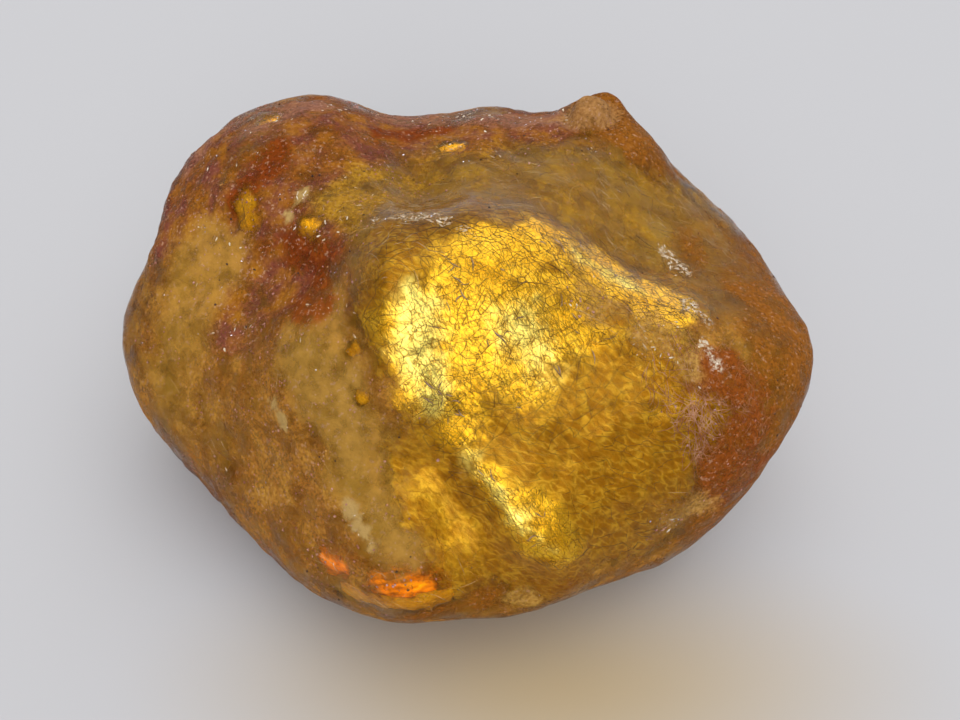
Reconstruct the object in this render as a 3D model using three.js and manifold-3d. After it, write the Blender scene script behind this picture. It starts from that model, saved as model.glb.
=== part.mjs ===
// A worn lump of raw kauri gum (fossil resin), in millimetres, +Z up.
// It is one solid piece. Its skin is found along rays from the middle of the lump: each ray stops at
// the soft minimum of a rounded body and of the worn faces that it meets. The lump's outline is then
// set in a slanted section, folds raise or sink the skin, and the foot is cut flat where it rests.
// The origin is at the middle of the bounding box, on the flat foot. The big clear face looks to -Y.

import * as THREE from "three";
import { ImprovedNoise } from "three/addons/math/ImprovedNoise.js";
import { mergeVertices } from "three/addons/utils/BufferGeometryUtils.js";
import Module from "manifold-3d";

// Driving sizes.
const WELD = 1e-4; // points nearer than this are one
const HALF_WIDTH = 40;
const HALF_DEPTH = 34;
const HALF_HEIGHT = 23;
const ROUNDNESS = 2.25; // exponent of the rounded body: 2 is an ellipsoid, more is boxier
const MESH_DETAIL = 20; // the sphere that carries the skin has 20 * (detail + 1)^2 triangles
const FOOT_CUT = 0.7; // how much is worn off the lowest point, to make the flat foot

// The slanted section is a plane through the middle that leans back, square to a line of sight that
// comes down on the front at this angle. Its own frame is [right, up the slant, out to the front].
const SECTION_SLANT = THREE.MathUtils.degToRad(49);
const SECTION_UP = new THREE.Vector3(0, Math.sin(SECTION_SLANT), Math.cos(SECTION_SLANT));
const SECTION_OUT = new THREE.Vector3(0, -Math.cos(SECTION_SLANT), Math.sin(SECTION_SLANT));
const slanted = (right, up, out) =>
  new THREE.Vector3(right, 0, 0).addScaledVector(SECTION_UP, up).addScaledVector(SECTION_OUT, out);
const upright = (x, y, z) => new THREE.Vector3(x, y, z);

// Faces worn by soil and handling: the way each one faces, and its distance from the middle.
// A ray whose cosine to that way is below LEAST_FACING doesn't meet the face.
const LEAST_FACING = 0.05;
const WORN_FACES = [
  { name: "clear front", facing: slanted(0.06, -0.16, 0.98), distance: 20.5, blend: 3 },
  { name: "left front", facing: slanted(-0.55, -0.1, 0.83), distance: 22, blend: 4 },
  { name: "right crown", facing: slanted(0.4, 0.5, 0.77), distance: 23, blend: 8 },
  { name: "right flank", facing: slanted(0.5, -0.5, 0.7), distance: 29.5, blend: 6 },
  { name: "back crown", facing: slanted(0, 0.84, 0.54), distance: 24, blend: 9 },
  { name: "left crown", facing: slanted(-0.5, 0.5, 0.7), distance: 27, blend: 8 },
  { name: "left flank", facing: slanted(-0.6, -0.55, 0.58), distance: 28, blend: 6 },
  { name: "left end", facing: upright(-0.93, 0.1, -0.2), distance: 37, blend: 8 },
  { name: "right end", facing: upright(0.93, -0.2, -0.3), distance: 35, blend: 8 },
  { name: "back", facing: upright(0.1, 0.98, 0.05), distance: 33, blend: 8 },
  { name: "back left", facing: upright(-0.62, 0.76, -0.1), distance: 35, blend: 7 },
  { name: "front underside", facing: upright(0.05, -0.85, -0.5), distance: 30, blend: 6 },
  { name: "underside", facing: upright(-0.02, -0.03, -1), distance: 21.3, blend: 5 },
  { name: "left underside", facing: upright(-0.72, -0.5, -0.48), distance: 31, blend: 7 },
];

// Folds: lines along which the skin stands out (height above 0) or is sunk, fading to nothing at `width`
// from the line. Each path's points lie on the skin, as [right, up, out] in the slanted section's frame.
const FOLDS = [
  { name: "swell of the clear face", path: [[3, 4, 20], [10, -8, 20]], width: 19, height: 1.7 },
  {
    name: "left edge of the clear face",
    path: [[-7, 5, 21], [-5.5, -6, 20.5], [0, -13.5, 19.5], [9.5, -22.5, 17.5]],
    width: 6,
    height: 1.5,
  },
  { name: "scoop", path: [[-2, -16, 19], [3, -25, 18]], width: 11, height: -2.8 },
  {
    name: "pale ridge",
    path: [[-16.5, 0, 17.5], [-11.5, -9.5, 18.5], [-7, -21, 18]],
    width: 9,
    height: 1.5,
  },
  { name: "valley below the left lobe", path: [[-21, 8, 13], [-11, 17, 12]], width: 14, height: -2.4 },
  { name: "right crest", path: [[13, 6, 18], [23, -3, 18], [31, -9, 15]], width: 8, height: 0.7 },
  { name: "hollow behind the right crest", path: [[16, 11, 13], [29, 3, 12]], width: 9, height: -0.3 },
  { name: "white crest spot", path: [[-3, 13, 17], [3, 12, 18]], width: 7, height: 0.7 },
  { name: "knob", path: [[14.8, 27.5, 0], [15.5, 26, -4]], width: 5.5, height: 2.6 },
  { name: "shoulder beside the knob", path: [[17, 26.5, -1], [23, 22.5, 1]], width: 6, height: 2 },
  { name: "front chip", path: [[4, -28, 15.5], [8, -27, 15.5]], width: 4.5, height: -1.3 },
  { name: "dent in the left flank", path: [[-30, -8, 8], [-24, -14, 12]], width: 9, height: -1 },
  { name: "dent in the back", path: [[-6, 22, -22], [8, 14, -27]], width: 15, height: -1.8 },
  { name: "swell on the back", path: [[16, 12, -27], [22, 2, -27]], width: 12, height: 1.4 },
];

// The outline in the slanted section: reach from the middle at each bearing, in degrees from the right.
// It holds fully for rays that lie flatter than `full` in the section, and not at all below `none`.
const OUTLINE_HOLD = { none: 0.35, full: 0.95 };
const WIDEST_LEAN = THREE.MathUtils.degToRad(70); // the furthest from the section that the rim can lie
const LEAN_STEPS = 90;
const OUTLINE = [
  { bearing: 0, reach: 39.7 },
  { bearing: 15, reach: 37 },
  { bearing: 30, reach: 34.6 },
  { bearing: 45, reach: 33.4 },
  { bearing: 55, reach: 32.8 },
  { bearing: 70, reach: 29.3 },
  { bearing: 82, reach: 28.6 },
  { bearing: 95, reach: 27.5 },
  { bearing: 108, reach: 29.1 },
  { bearing: 120, reach: 35.2 },
  { bearing: 135, reach: 38.1 },
  { bearing: 150, reach: 39.2 },
  { bearing: 165, reach: 38 },
  { bearing: 180, reach: 39.8 },
  { bearing: 195, reach: 38.1 },
  { bearing: 210, reach: 34.9 },
  { bearing: 225, reach: 33.1 },
  { bearing: 240, reach: 32.9 },
  { bearing: 255, reach: 32.8 },
  { bearing: 270, reach: 31.4 },
  { bearing: 285, reach: 31.8 },
  { bearing: 300, reach: 32.6 },
  { bearing: 315, reach: 35.5 },
  { bearing: 330, reach: 37.8 },
  { bearing: 345, reach: 38.8 },
];

// Gentle unevenness of the whole skin, and where in the noise it is taken from.
const WAVE_START = 7.3;
const WAVES = [
  { length: 26, height: 1.1 },
  { length: 11, height: 0.55 },
];

// The lesser of two lengths, rounded off where they are within `blend` of each other.
function softMin(a, b, blend) {
  const near = Math.max(blend - Math.abs(a - b), 0) / blend;
  return Math.min(a, b) - (near * near * blend) / 4;
}

// Where a ray from the middle leaves the rounded body.
function bodyReach(ray) {
  const share = (part, half) => Math.abs(part / half) ** ROUNDNESS;
  const sum = share(ray.x, HALF_WIDTH) + share(ray.y, HALF_DEPTH) + share(ray.z, HALF_HEIGHT);
  return sum ** (-1 / ROUNDNESS);
}

// The body with its worn faces.
function wornReach(ray) {
  let reach = bodyReach(ray);
  for (const face of WORN_FACES) {
    const slope = ray.dot(face.facing) / face.facing.length();
    if (slope > LEAST_FACING) reach = softMin(reach, face.distance / slope, face.blend);
  }
  return reach;
}

// A ray's bearing in the slanted section, from 0 to 360, and how squarely it lies in it, from 0 to 1.
function inSection(ray) {
  const right = ray.x;
  const up = ray.dot(SECTION_UP);
  const bearing = (THREE.MathUtils.radToDeg(Math.atan2(up, right)) + 360) % 360;
  return { bearing, lies: Math.hypot(right, up) };
}

// The outline's reach at any bearing, by a Catmull-Rom spline through its points.
function outlineReach(bearing) {
  const count = OUTLINE.length;
  const next = OUTLINE.findIndex((point) => point.bearing > bearing);
  const i = (next < 0 ? count : next) - 1;
  const point = (k) => OUTLINE[(k + count) % count];
  const span = (point(i + 1).bearing - point(i).bearing + 360) % 360;
  const t = (bearing - point(i).bearing) / span;
  const [a, b, c, d] = [-1, 0, 1, 2].map((step) => point(i + step).reach);
  return b + 0.5 * t * (c - a + t * (2 * a - 5 * b + 4 * c - d + t * (3 * (b - c) + d - a)));
}

// How far the worn body reaches in the slanted section at each whole degree of bearing, as it stands.
function bareOutline() {
  return Array.from({ length: 360 }, (_, degree) => {
    const turn = THREE.MathUtils.degToRad(degree);
    const flat = new THREE.Vector3(Math.cos(turn), 0, 0).addScaledVector(SECTION_UP, Math.sin(turn));
    let most = 0;
    for (let k = 0; k <= LEAN_STEPS; k++) {
      const lean = ((k / LEAN_STEPS) * 2 - 1) * WIDEST_LEAN;
      const ray = flat.clone().multiplyScalar(Math.cos(lean)).addScaledVector(SECTION_OUT, Math.sin(lean));
      most = Math.max(most, wornReach(ray) * Math.cos(lean));
    }
    return most;
  });
}

// Each fold's path as lines from point to point.
for (const fold of FOLDS) {
  const points = fold.path.map((place) => slanted(...place));
  fold.lines = points.slice(1).map((point, i) => new THREE.Line3(points[i], point));
}

// How far the folds raise the skin at a point of it.
function foldHeight(point) {
  const nearest = new THREE.Vector3();
  const away = (line) => line.closestPointToPoint(point, true, nearest).distanceTo(point);
  let height = 0;
  for (const fold of FOLDS) {
    const distance = Math.min(...fold.lines.map(away));
    height += fold.height * (1 - THREE.MathUtils.smoothstep(distance, 0, fold.width));
  }
  return height;
}

// Smooth noise from -1 to 1 with bumps of about the given length, in millimetres.
const noise = new ImprovedNoise();
function waves(point) {
  let height = 0;
  for (const wave of WAVES) {
    const [x, y, z] = [point.x, point.y, point.z].map((part) => part / wave.length + WAVE_START);
    height += wave.height * noise.noise(x, y, z);
  }
  return height;
}

// The skin: a finely divided sphere whose every point is moved out to the end of its ray.
function skin() {
  const sphere = new THREE.IcosahedronGeometry(1, MESH_DETAIL);
  sphere.deleteAttribute("normal");
  sphere.deleteAttribute("uv");
  const surface = mergeVertices(sphere, WELD);
  const bare = bareOutline();
  const place = surface.getAttribute("position");
  const ray = new THREE.Vector3();
  for (let i = 0; i < place.count; i++) {
    ray.fromBufferAttribute(place, i).normalize();
    const { bearing, lies } = inSection(ray);
    const stretch = outlineReach(bearing) / bare[Math.round(bearing) % 360];
    const hold = THREE.MathUtils.smoothstep(lies, OUTLINE_HOLD.none, OUTLINE_HOLD.full);
    let reach = wornReach(ray) * THREE.MathUtils.lerp(1, stretch, hold);
    const smooth = ray.clone().multiplyScalar(reach);
    reach += foldHeight(smooth) + waves(smooth);
    place.setXYZ(i, ...ray.multiplyScalar(reach));
  }
  return surface;
}

const wasm = await Module();
wasm.setup();

function toSolid(geometry) {
  const merged = mergeVertices(geometry, WELD);
  return new wasm.Manifold(
    new wasm.Mesh({
      numProp: 3,
      vertProperties: merged.getAttribute("position").array,
      triVerts: new Uint32Array(merged.index.array),
    }),
  );
}

function toGeometry(solid) {
  const mesh = solid.getMesh();
  const geometry = new THREE.BufferGeometry();
  geometry.setAttribute("position", new THREE.BufferAttribute(mesh.vertProperties, 3));
  geometry.setIndex(new THREE.BufferAttribute(mesh.triVerts, 1));
  return geometry;
}

// The lump with its foot cut flat, moved so that the origin is under its middle.
function restingLump() {
  const lump = skin();
  lump.computeBoundingBox();
  const { min, max } = lump.boundingBox;
  lump.translate(-(min.x + max.x) / 2, -(min.y + max.y) / 2, -min.z - FOOT_CUT);
  const ground = new THREE.BoxGeometry(4 * HALF_WIDTH, 4 * HALF_DEPTH, 2 * HALF_HEIGHT);
  ground.deleteAttribute("normal");
  ground.deleteAttribute("uv");
  ground.translate(0, 0, -HALF_HEIGHT);
  return toGeometry(toSolid(lump).subtract(toSolid(ground)));
}

const gum = new THREE.MeshStandardMaterial({ color: 0xc07a1c, roughness: 0.35, metalness: 0 });
const lump = new THREE.Mesh(restingLump(), gum);
lump.name = "gum_lump";

const part = new THREE.Group();
part.add(lump);

export default part;
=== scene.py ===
"""A lump of raw kauri gum: fossil resin with a clear crazed face, a rough rind and sealed fractures.

Every length is in metres unless a name says otherwise, and every place is in the part's own frame:
+X along the lump, +Y to its back, +Z up, with the origin on the flat foot. Places and sizes on the
lump are written in millimetres, as a maker would mark them, and are turned to metres where they are
used.
"""

import logging
import math
from collections.abc import Iterator
from contextlib import contextmanager
from dataclasses import dataclass
from enum import Enum

import bpy
import numpy as np
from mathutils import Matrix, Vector, noise
from mathutils.bvhtree import BVHTree
from mathutils.geometry import delaunay_2d_cdt

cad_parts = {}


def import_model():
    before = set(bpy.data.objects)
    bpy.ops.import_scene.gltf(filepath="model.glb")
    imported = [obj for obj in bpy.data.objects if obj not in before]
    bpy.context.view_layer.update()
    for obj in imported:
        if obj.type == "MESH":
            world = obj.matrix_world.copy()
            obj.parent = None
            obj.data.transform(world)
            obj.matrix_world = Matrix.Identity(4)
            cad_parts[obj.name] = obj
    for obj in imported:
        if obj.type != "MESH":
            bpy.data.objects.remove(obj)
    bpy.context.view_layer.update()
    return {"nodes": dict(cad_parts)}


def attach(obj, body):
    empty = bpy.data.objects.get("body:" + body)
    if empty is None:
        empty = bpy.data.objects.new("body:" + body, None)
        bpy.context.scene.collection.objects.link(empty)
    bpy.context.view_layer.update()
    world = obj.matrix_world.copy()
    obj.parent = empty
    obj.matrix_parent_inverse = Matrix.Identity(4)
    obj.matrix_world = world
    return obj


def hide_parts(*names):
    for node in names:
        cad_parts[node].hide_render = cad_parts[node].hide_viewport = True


LOG = logging.getLogger("kauri_gum")
MM = 0.001
GUM_NODE = "gum_lump"
BODY = "root"
PRESS = "press_"
TINY = 1e-6
FLAT = 1e-9
NOISE_FALL = 0.9
NOISE_STEP = 2.1

Place = tuple[float, float, float]
Colour = tuple[float, float, float]
Face = tuple[int, ...]


# ---------------------------------------------------------------- helpers for working on meshes


def only(obj: bpy.types.Object) -> None:
    """Select one object alone, and make it the active one.

    Args:
        obj: The object to work on.
    """
    bpy.ops.object.select_all(action="DESELECT")
    obj.select_set(True)
    bpy.context.view_layer.objects.active = obj


@contextmanager
def edit_mode(obj: bpy.types.Object, select: str = "SELECT") -> Iterator[None]:
    """Work on a mesh in edit mode, and leave it at the end.

    Args:
        obj: The mesh object.
        select: SELECT to start with all of it selected, or DESELECT with none.

    Yields:
        Nothing.
    """
    only(obj)
    bpy.ops.object.mode_set(mode="EDIT")
    bpy.ops.mesh.select_all(action=select)
    yield
    bpy.ops.object.mode_set(mode="OBJECT")


def modify(obj: bpy.types.Object, kind: str, **settings: object) -> None:
    """Add a modifier to an object and apply it.

    Args:
        obj: The mesh object.
        kind: The modifier's type.
        **settings: The modifier's own properties.
    """
    only(obj)
    bpy.ops.object.modifier_add(type=kind)
    modifier = obj.modifiers[-1]
    for name, value in settings.items():
        setattr(modifier, name, value)
    bpy.ops.object.modifier_apply(modifier=modifier.name)


def push_skin(obj: bpy.types.Object, distance: float, mask: str = "", **settings: object) -> None:
    """Move a skin along its own normals.

    Args:
        obj: The mesh object.
        distance: How far, in millimetres; below 0 is inwards.
        mask: The mask that limits it, or nothing for all over.
        **settings: What else the displacement is told.
    """
    group = PRESS + mask if mask else ""
    settings = {"mid_level": 0.0, **settings}
    modify(obj, "DISPLACE", strength=distance * MM, vertex_group=group, **settings)


def points_of(obj: bpy.types.Object) -> np.ndarray:
    """Read a mesh's points.

    Args:
        obj: A mesh object.

    Returns:
        Its points in millimetres, one row each.
    """
    flat = np.empty(len(obj.data.vertices) * 3)
    obj.data.vertices.foreach_get("co", flat)
    return flat.reshape(-1, 3) / MM


def copy_of(obj: bpy.types.Object, name: str) -> bpy.types.Object:
    """Copy an object with a mesh of its own, riding on nothing.

    Args:
        obj: The object to copy.
        name: The copy's name.

    Returns:
        The copy, linked to the scene.
    """
    twin = obj.copy()
    twin.data = obj.data.copy()
    twin.name = name
    twin.parent = None
    for key in list(twin.keys()):
        del twin[key]
    bpy.context.scene.collection.objects.link(twin)
    return twin


def new_mesh(name: str, points: np.ndarray, faces: list[Face]) -> bpy.types.Object:
    """Make a mesh object from points and faces.

    Args:
        name: Its name.
        points: Its points, in millimetres.
        faces: Its faces.

    Returns:
        The object, with its faces pointing outwards.
    """
    mesh = bpy.data.meshes.new(name)
    mesh.from_pydata((points * MM).tolist(), [], faces)
    obj = bpy.data.objects.new(name, mesh)
    bpy.context.scene.collection.objects.link(obj)
    with edit_mode(obj):
        bpy.ops.mesh.normals_make_consistent(inside=False)
    return obj


def strand_faces(first: int, steps: int) -> list[Face]:
    """Join the points of a closed three-sided strand.

    Args:
        first: The number of its first point.
        steps: How many straight pieces it has.

    Returns:
        The faces of its sides, then of its two ends.
    """
    faces: list[Face] = []
    end = first + 3 * steps
    for at in range(first, end, 3):
        for j, k in ((0, 1), (1, 2), (2, 0)):
            faces.append((at + j, at + k, at + 3 + k, at + 3 + j))
    return [*faces, (first, first + 2, first + 1), (end, end + 1, end + 2)]


def trim(obj: bpy.types.Object, keep: np.ndarray) -> None:
    """Cut away the parts of a skin whose points aren't kept.

    Args:
        obj: The mesh object.
        keep: For each vertex, whether it stays.
    """
    with edit_mode(obj, "DESELECT"):
        bpy.ops.object.mode_set(mode="OBJECT")
        obj.data.vertices.foreach_set("select", ~keep)
        bpy.ops.object.mode_set(mode="EDIT")
        bpy.ops.mesh.delete(type="VERT")
        bpy.ops.mesh.select_all(action="SELECT")
        bpy.ops.mesh.delete_loose(use_verts=True, use_edges=True, use_faces=False)


# ---------------------------------------------------------------- noise and masks


def rough_noise(points: np.ndarray, size: float, start: float, octaves: int = 3) -> np.ndarray:
    """Smooth noise at each point.

    Args:
        points: Places in millimetres.
        size: The length of its largest bumps, in millimetres.
        start: Where in the noise it is taken from.
        octaves: How many finer layers it has.

    Returns:
        One value for each point, mostly from -1 to 1.
    """
    shift = Vector((start, -start, 2 * start))
    values = (noise.fractal(Vector(p) / size + shift, NOISE_FALL, NOISE_STEP, octaves) for p in points)
    return np.fromiter(values, float, len(points))


def smoothstep(value: np.ndarray, low: float, high: float) -> np.ndarray:
    """Fade smoothly from 0 at low to 1 at high."""
    t = np.clip((value - low) / (high - low), 0, 1)
    return t * t * (3 - 2 * t)


def read_mask(obj: bpy.types.Object, name: str) -> np.ndarray:
    """Read one of a piece's masks."""
    values = np.empty(len(obj.data.vertices), np.float32)
    obj.data.attributes[name].data.foreach_get("value", values)
    return values


def write_mask(obj: bpy.types.Object, name: str, values: np.ndarray) -> None:
    """Store a mask on a piece, as an attribute for its finish."""
    layer = obj.data.attributes.new(name, "FLOAT", "POINT")
    layer.data.foreach_set("value", np.clip(values, 0, 1).astype(np.float32))


def weigh(obj: bpy.types.Object, name: str, weights: np.ndarray, levels: int = 40) -> None:
    """Store a mask both as a vertex group, for modifiers, and as an attribute.

    Args:
        obj: The mesh object.
        name: The mask's name.
        weights: One value from 0 to 1 for each vertex.
        levels: How finely the vertex group keeps them.
    """
    group = obj.vertex_groups.new(name=PRESS + name)
    steps = np.rint(weights * levels).astype(int)
    for step in range(1, levels + 1):
        group.add(np.flatnonzero(steps == step).tolist(), step / levels, "REPLACE")
    write_mask(obj, name, weights)


# ---------------------------------------------------------------- zones of the lump


class Zone(Enum):
    """The kinds of skin, and of sealed fracture, that the lump shows."""

    CLEAR = "clear"
    CRUST = "crust"
    CLOUD = "cloud"
    OLIVE = "olive"
    PALE = "pale"
    SCOOP = "scoop"
    FIBRE = "fibre"
    BROWN = "brown"
    FROST = "frost"
    SCUFF = "scuff"
    CREAM = "cream"
    WINDOW = "window"
    FOIL = "foil"
    # Where a sealed fracture glows by emission: painted glow.
    GLOW = "glow"
    # Where a fracture sheet is painted pale: painted highlights.
    GLEAM = "gleam"
    RIM = "rim"
    RED = "red"
    KNOB = "knob"
    CHIP = "chip"
    STRAW = "straw"


Shares = dict[Zone, float] | tuple[tuple[Zone, float], ...]
Masks = dict[Zone, np.ndarray]


def strongest(masks: Masks, shares: Shares) -> np.ndarray:
    """Find the strongest of some zones at each point, each counted by its share."""
    return np.max([masks[zone] * share for zone, share in dict(shares).items()], axis=0)


@dataclass(frozen=True)
class Stroke:
    """A soft band along a path on the skin.

    Attributes:
        path: Its points, in millimetres.
        full: How far from the path the band is whole.
        fade: How far from the path it has faded out.
    """

    path: tuple[Place, ...]
    full: float
    fade: float

    def cover(self, points: np.ndarray, ragged: np.ndarray) -> np.ndarray:
        """Work out how strongly the band lies on each point.

        Args:
            points: Places in millimetres.
            ragged: How far the band's edge is pushed out at each point, in millimetres.

        Returns:
            One value from 0 to 1 for each point.
        """
        nearest = np.full(len(points), np.inf)
        ends = np.array(self.path, float)
        if len(ends) == 1:
            ends = np.vstack([ends, ends + TINY])
        for start, stop in zip(ends[:-1], ends[1:]):
            way = stop - start
            share = np.clip((points - start) @ way / (way @ way), 0, 1)
            gap = np.linalg.norm(points - start - share[:, None] * way, axis=1)
            nearest = np.minimum(nearest, gap)
        return 1 - smoothstep(nearest - ragged, self.full, self.fade)


STROKES: dict[Zone, tuple[Stroke, ...]] = {
    Zone.CLEAR: (
        Stroke(((0, -11, 41), (4, -16, 37), (9, -21, 31), (11, -26, 23)), 6.5, 14),
        Stroke(((2, -6.5, 43), (12, -6, 40), (21, -8.5, 36)), 3, 7),
        Stroke(((14, -16, 35), (18, -20, 29), (15, -25, 22)), 4.5, 12),
    ),
    Zone.CRUST: (
        Stroke(((-30, 12, 35), (-23, 6, 39), (-17, -1, 38), (-14, 6, 40), (-12, 12, 41)), 5, 15),
        Stroke(((-18, 19, 40), (-9, 18, 39), (1, 17, 38), (10, 19, 38)), 3, 11),
        Stroke(((-14, -9, 38), (-20, -7, 36), (-26, -4, 32)), 1, 9),
        Stroke(((-25, 18, 25), (-10, 31, 18), (14, 30, 20), (30, 14, 18)), 4, 17),
        Stroke(((-28, -8, 4), (-6, -12, 0), (20, 6, 2)), 6, 18),
    ),
    Zone.CLOUD: (
        Stroke(((-27, -8, 30), (-21, -13, 28), (-16, -18, 28), (-14, -24, 22), (-20, -22, 16)), 6, 16),
    ),
    Zone.OLIVE: (
        Stroke(((-5, -5, 44), (-8, 2, 43), (-2, 8, 41)), 2, 9),
        Stroke(((8, 6, 40), (18, 6, 37), (26, 8, 33)), 4, 12),
    ),
    Zone.STRAW: (
        Stroke(((-29, 1, 33), (-31, -4, 28), (-34, -7, 23)), 0, 8),
        Stroke(((-14, -13, 35.5), (-11, -19, 31.5), (-7, -26, 25)), 2, 7.5),
    ),
    Zone.PALE: (
        Stroke(((-15, -14, 34), (-12, -19, 31.5), (-9, -24.5, 26.5), (-6.5, -29, 21)), 1.0, 5.5),
    ),
    Zone.SCOOP: (Stroke(((-3.6, -22.5, 28), (-1.5, -26, 23), (1, -29, 17)), 0.5, 5.5),),
    Zone.FIBRE: (Stroke(((27, -16, 33), (29, -19, 28), (30.5, -20, 22)), 3.5, 7),),
    Zone.BROWN: (
        Stroke(((30, 4, 31), (35, -6, 30), (35, -13, 24), (30, -20, 16)), 5, 11),
        Stroke(((11.5, -29, 15), (4, -31, 14), (-4, -32, 14)), 1.2, 4),
        Stroke(((17, 20, 38), (22, 17, 36)), 3, 8),
    ),
    Zone.FROST: (
        Stroke(((14, -9.8, 39), (19, -12, 37.3), (24, -15, 35)), 0.9, 4),
        Stroke(((26, -23, 19.6), (22, -25, 18)), 0, 4),
    ),
    Zone.SCUFF: (
        Stroke(((-8, -2.6, 42.4), (-3, -2.2, 43.6), (-1.2, -4, 44)), 0.1, 1.7),
        Stroke(((-1.2, -4, 44), (2.5, -5.5, 43.6)), 0.1, 1.1),
        Stroke(((23.6, 1.5, 33.8), (25, -0.5, 33.8)), 0.1, 1.8),
        Stroke(((24.8, -7, 35), (26.6, -9.5, 34.6)), 0.1, 1.6),
        Stroke(((26.2, -12.6, 34.7), (27.4, -14.8, 34)), 0.1, 1.5),
    ),
    Zone.CREAM: (
        Stroke(((-18.0, 2.2, 39.7), (-16.6, 4.8, 40.4)), 0.0, 1.3),
        Stroke(((-19.2, -15.6, 29.4), (-17.9, -18.2, 28)), 0.0, 1.2),
        Stroke(((-11.2, -25, 24.4), (-9, -28.6, 21.4)), 0.0, 1.5),
    ),
    Zone.WINDOW: (
        Stroke(((-21.8, 18.2, 39.8),), -0.3, 2.4),
        Stroke(((-23.4, 3.6, 37.3), (-22.8, 6, 38)), -0.3, 2.8),
        Stroke(((-16, 0, 39.6),), -0.3, 2.6),
        Stroke(((-1.2, 14.6, 38.8), (0.2, 14.6, 38.8)), -0.2, 2.0),
        Stroke(((-10.3, -15, 36.7),), -0.2, 1.6),
        Stroke(((-9.5, -18.9, 33.2),), -0.2, 1.7),
        Stroke(((-25, 9, 37.5), (-24, 12, 38)), -0.6, 2.4),
        Stroke(((-11.5, -29.6, 13.4), (-6.4, -32, 15.0), (-1.2, -31.5, 15.1)), 0.0, 2.2),
    ),
    Zone.FOIL: (
        Stroke(((-4.5, -14.5, 39.5), (-2.8, -17.5, 35.6), (-1, -20.5, 30.9)), 2.2, 6.2),
        Stroke(((-1, -20.7, 30.5), (2.8, -23.7, 26.6)), 0.2, 3.0),
        Stroke(((2.8, -23.7, 26.6), (6.8, -26.6, 23.3)), -0.3, 2.1),
        Stroke(((7.5, -26.2, 23.3), (10.6, -28.4, 19.8)), 1.2, 4.4),
        Stroke(((1, -11.5, 41.6), (5, -13, 40), (10.8, -13.4, 37.9)), 2.0, 7),
        Stroke(((3, -17, 36.5), (8, -17.5, 34.2)), 0.0, 6),
        Stroke(((0.5, -13.5, 39.5), (2, -16, 37.5)), 1.5, 4.5),
        Stroke(((8, -9, 41.2), (13, -8.5, 40)), 0.3, 4.2),
        Stroke(
            ((3.4, -7, 43.6), (7.5, -6, 42.6), (12, -3.5, 40.2), (17, -5, 37), (21.5, -8, 36)), 2.0, 5.2
        ),
        Stroke(((-3, -20.8, 30), (-0.8, -21.7, 28.7), (0.7, -22.4, 27.4)), 0.2, 1.4),
    ),
    # Painted highlights: the brightest places of the fracture sheet.
    Zone.GLEAM: (
        Stroke(((-4.6, -13.2, 40.4), (-3, -16.4, 37.2), (-1.8, -18.8, 34)), -0.6, 5.2),
        Stroke(((0.4, -22.2, 28.4), (5, -25.8, 24.5), (9.6, -28.4, 20.2)), -1.8, 1.9),
        Stroke(((6, -13.5, 39.5), (9, -15.5, 36.8)), -3.0, 6.0),
        Stroke(((13, -4, 39.5), (17, -4.8, 36.9), (20, -6.4, 36)), -2.4, 2.4),
        Stroke(((-3.6, -31.5, 17.4), (-6.4, -31.3, 17.4)), -1.0, 1.5),
    ),
    Zone.CHIP: (Stroke(((4.2, -30.8, 13.5), (8.2, -29.8, 13.2)), 0.4, 2.2),),
    Zone.RIM: (
        Stroke(
            ((-14, 25, 36), (-9, 23.5, 36), (-3.4, 23.5, 35.6), (3.8, 21, 37.7), (13, 21, 38.6)), 1.0, 3.8
        ),
        Stroke(((-30, 17, 33), (-24, 21, 36)), 1.2, 5),
        Stroke(((-23, 17, 39), (-17, 21.5, 39.5)), 0.0, 4.5),
    ),
    Zone.RED: (
        Stroke(((-22, -1, 38.5), (-17, -1, 38.5), (-14, -5, 38.5), (-15, -9, 37)), 0.5, 5.0),
        Stroke(((-24, 6, 38.5), (-20, 11, 40.5)), 0.0, 4.0),
        Stroke(((-8, 17, 38.5), (-2, 19, 38)), 0.0, 4.0),
    ),
    Zone.KNOB: (Stroke(((14.2, 20.4, 38.8), (17, 20.2, 39)), 0.8, 4.0),),
    # Painted glow: where the fracture at the foot glows by emission.
    Zone.GLOW: (
        Stroke(((-7.4, -31.0, 17.2), (-3.0, -31.6, 17.3)), -1.6, 3.8),
        Stroke(((-14.2, -27.6, 16.7), (-12.6, -28.4, 17)), -1.6, 2.8),
    ),
}


@dataclass(frozen=True)
class Edge:
    """How the edges of some zones wander.

    Attributes:
        much: How far, in millimetres.
        patch: Over what length, in millimetres.
        zones: The zones whose edges wander so.
    """

    much: float
    patch: float
    zones: tuple[Zone, ...] = ()


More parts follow.
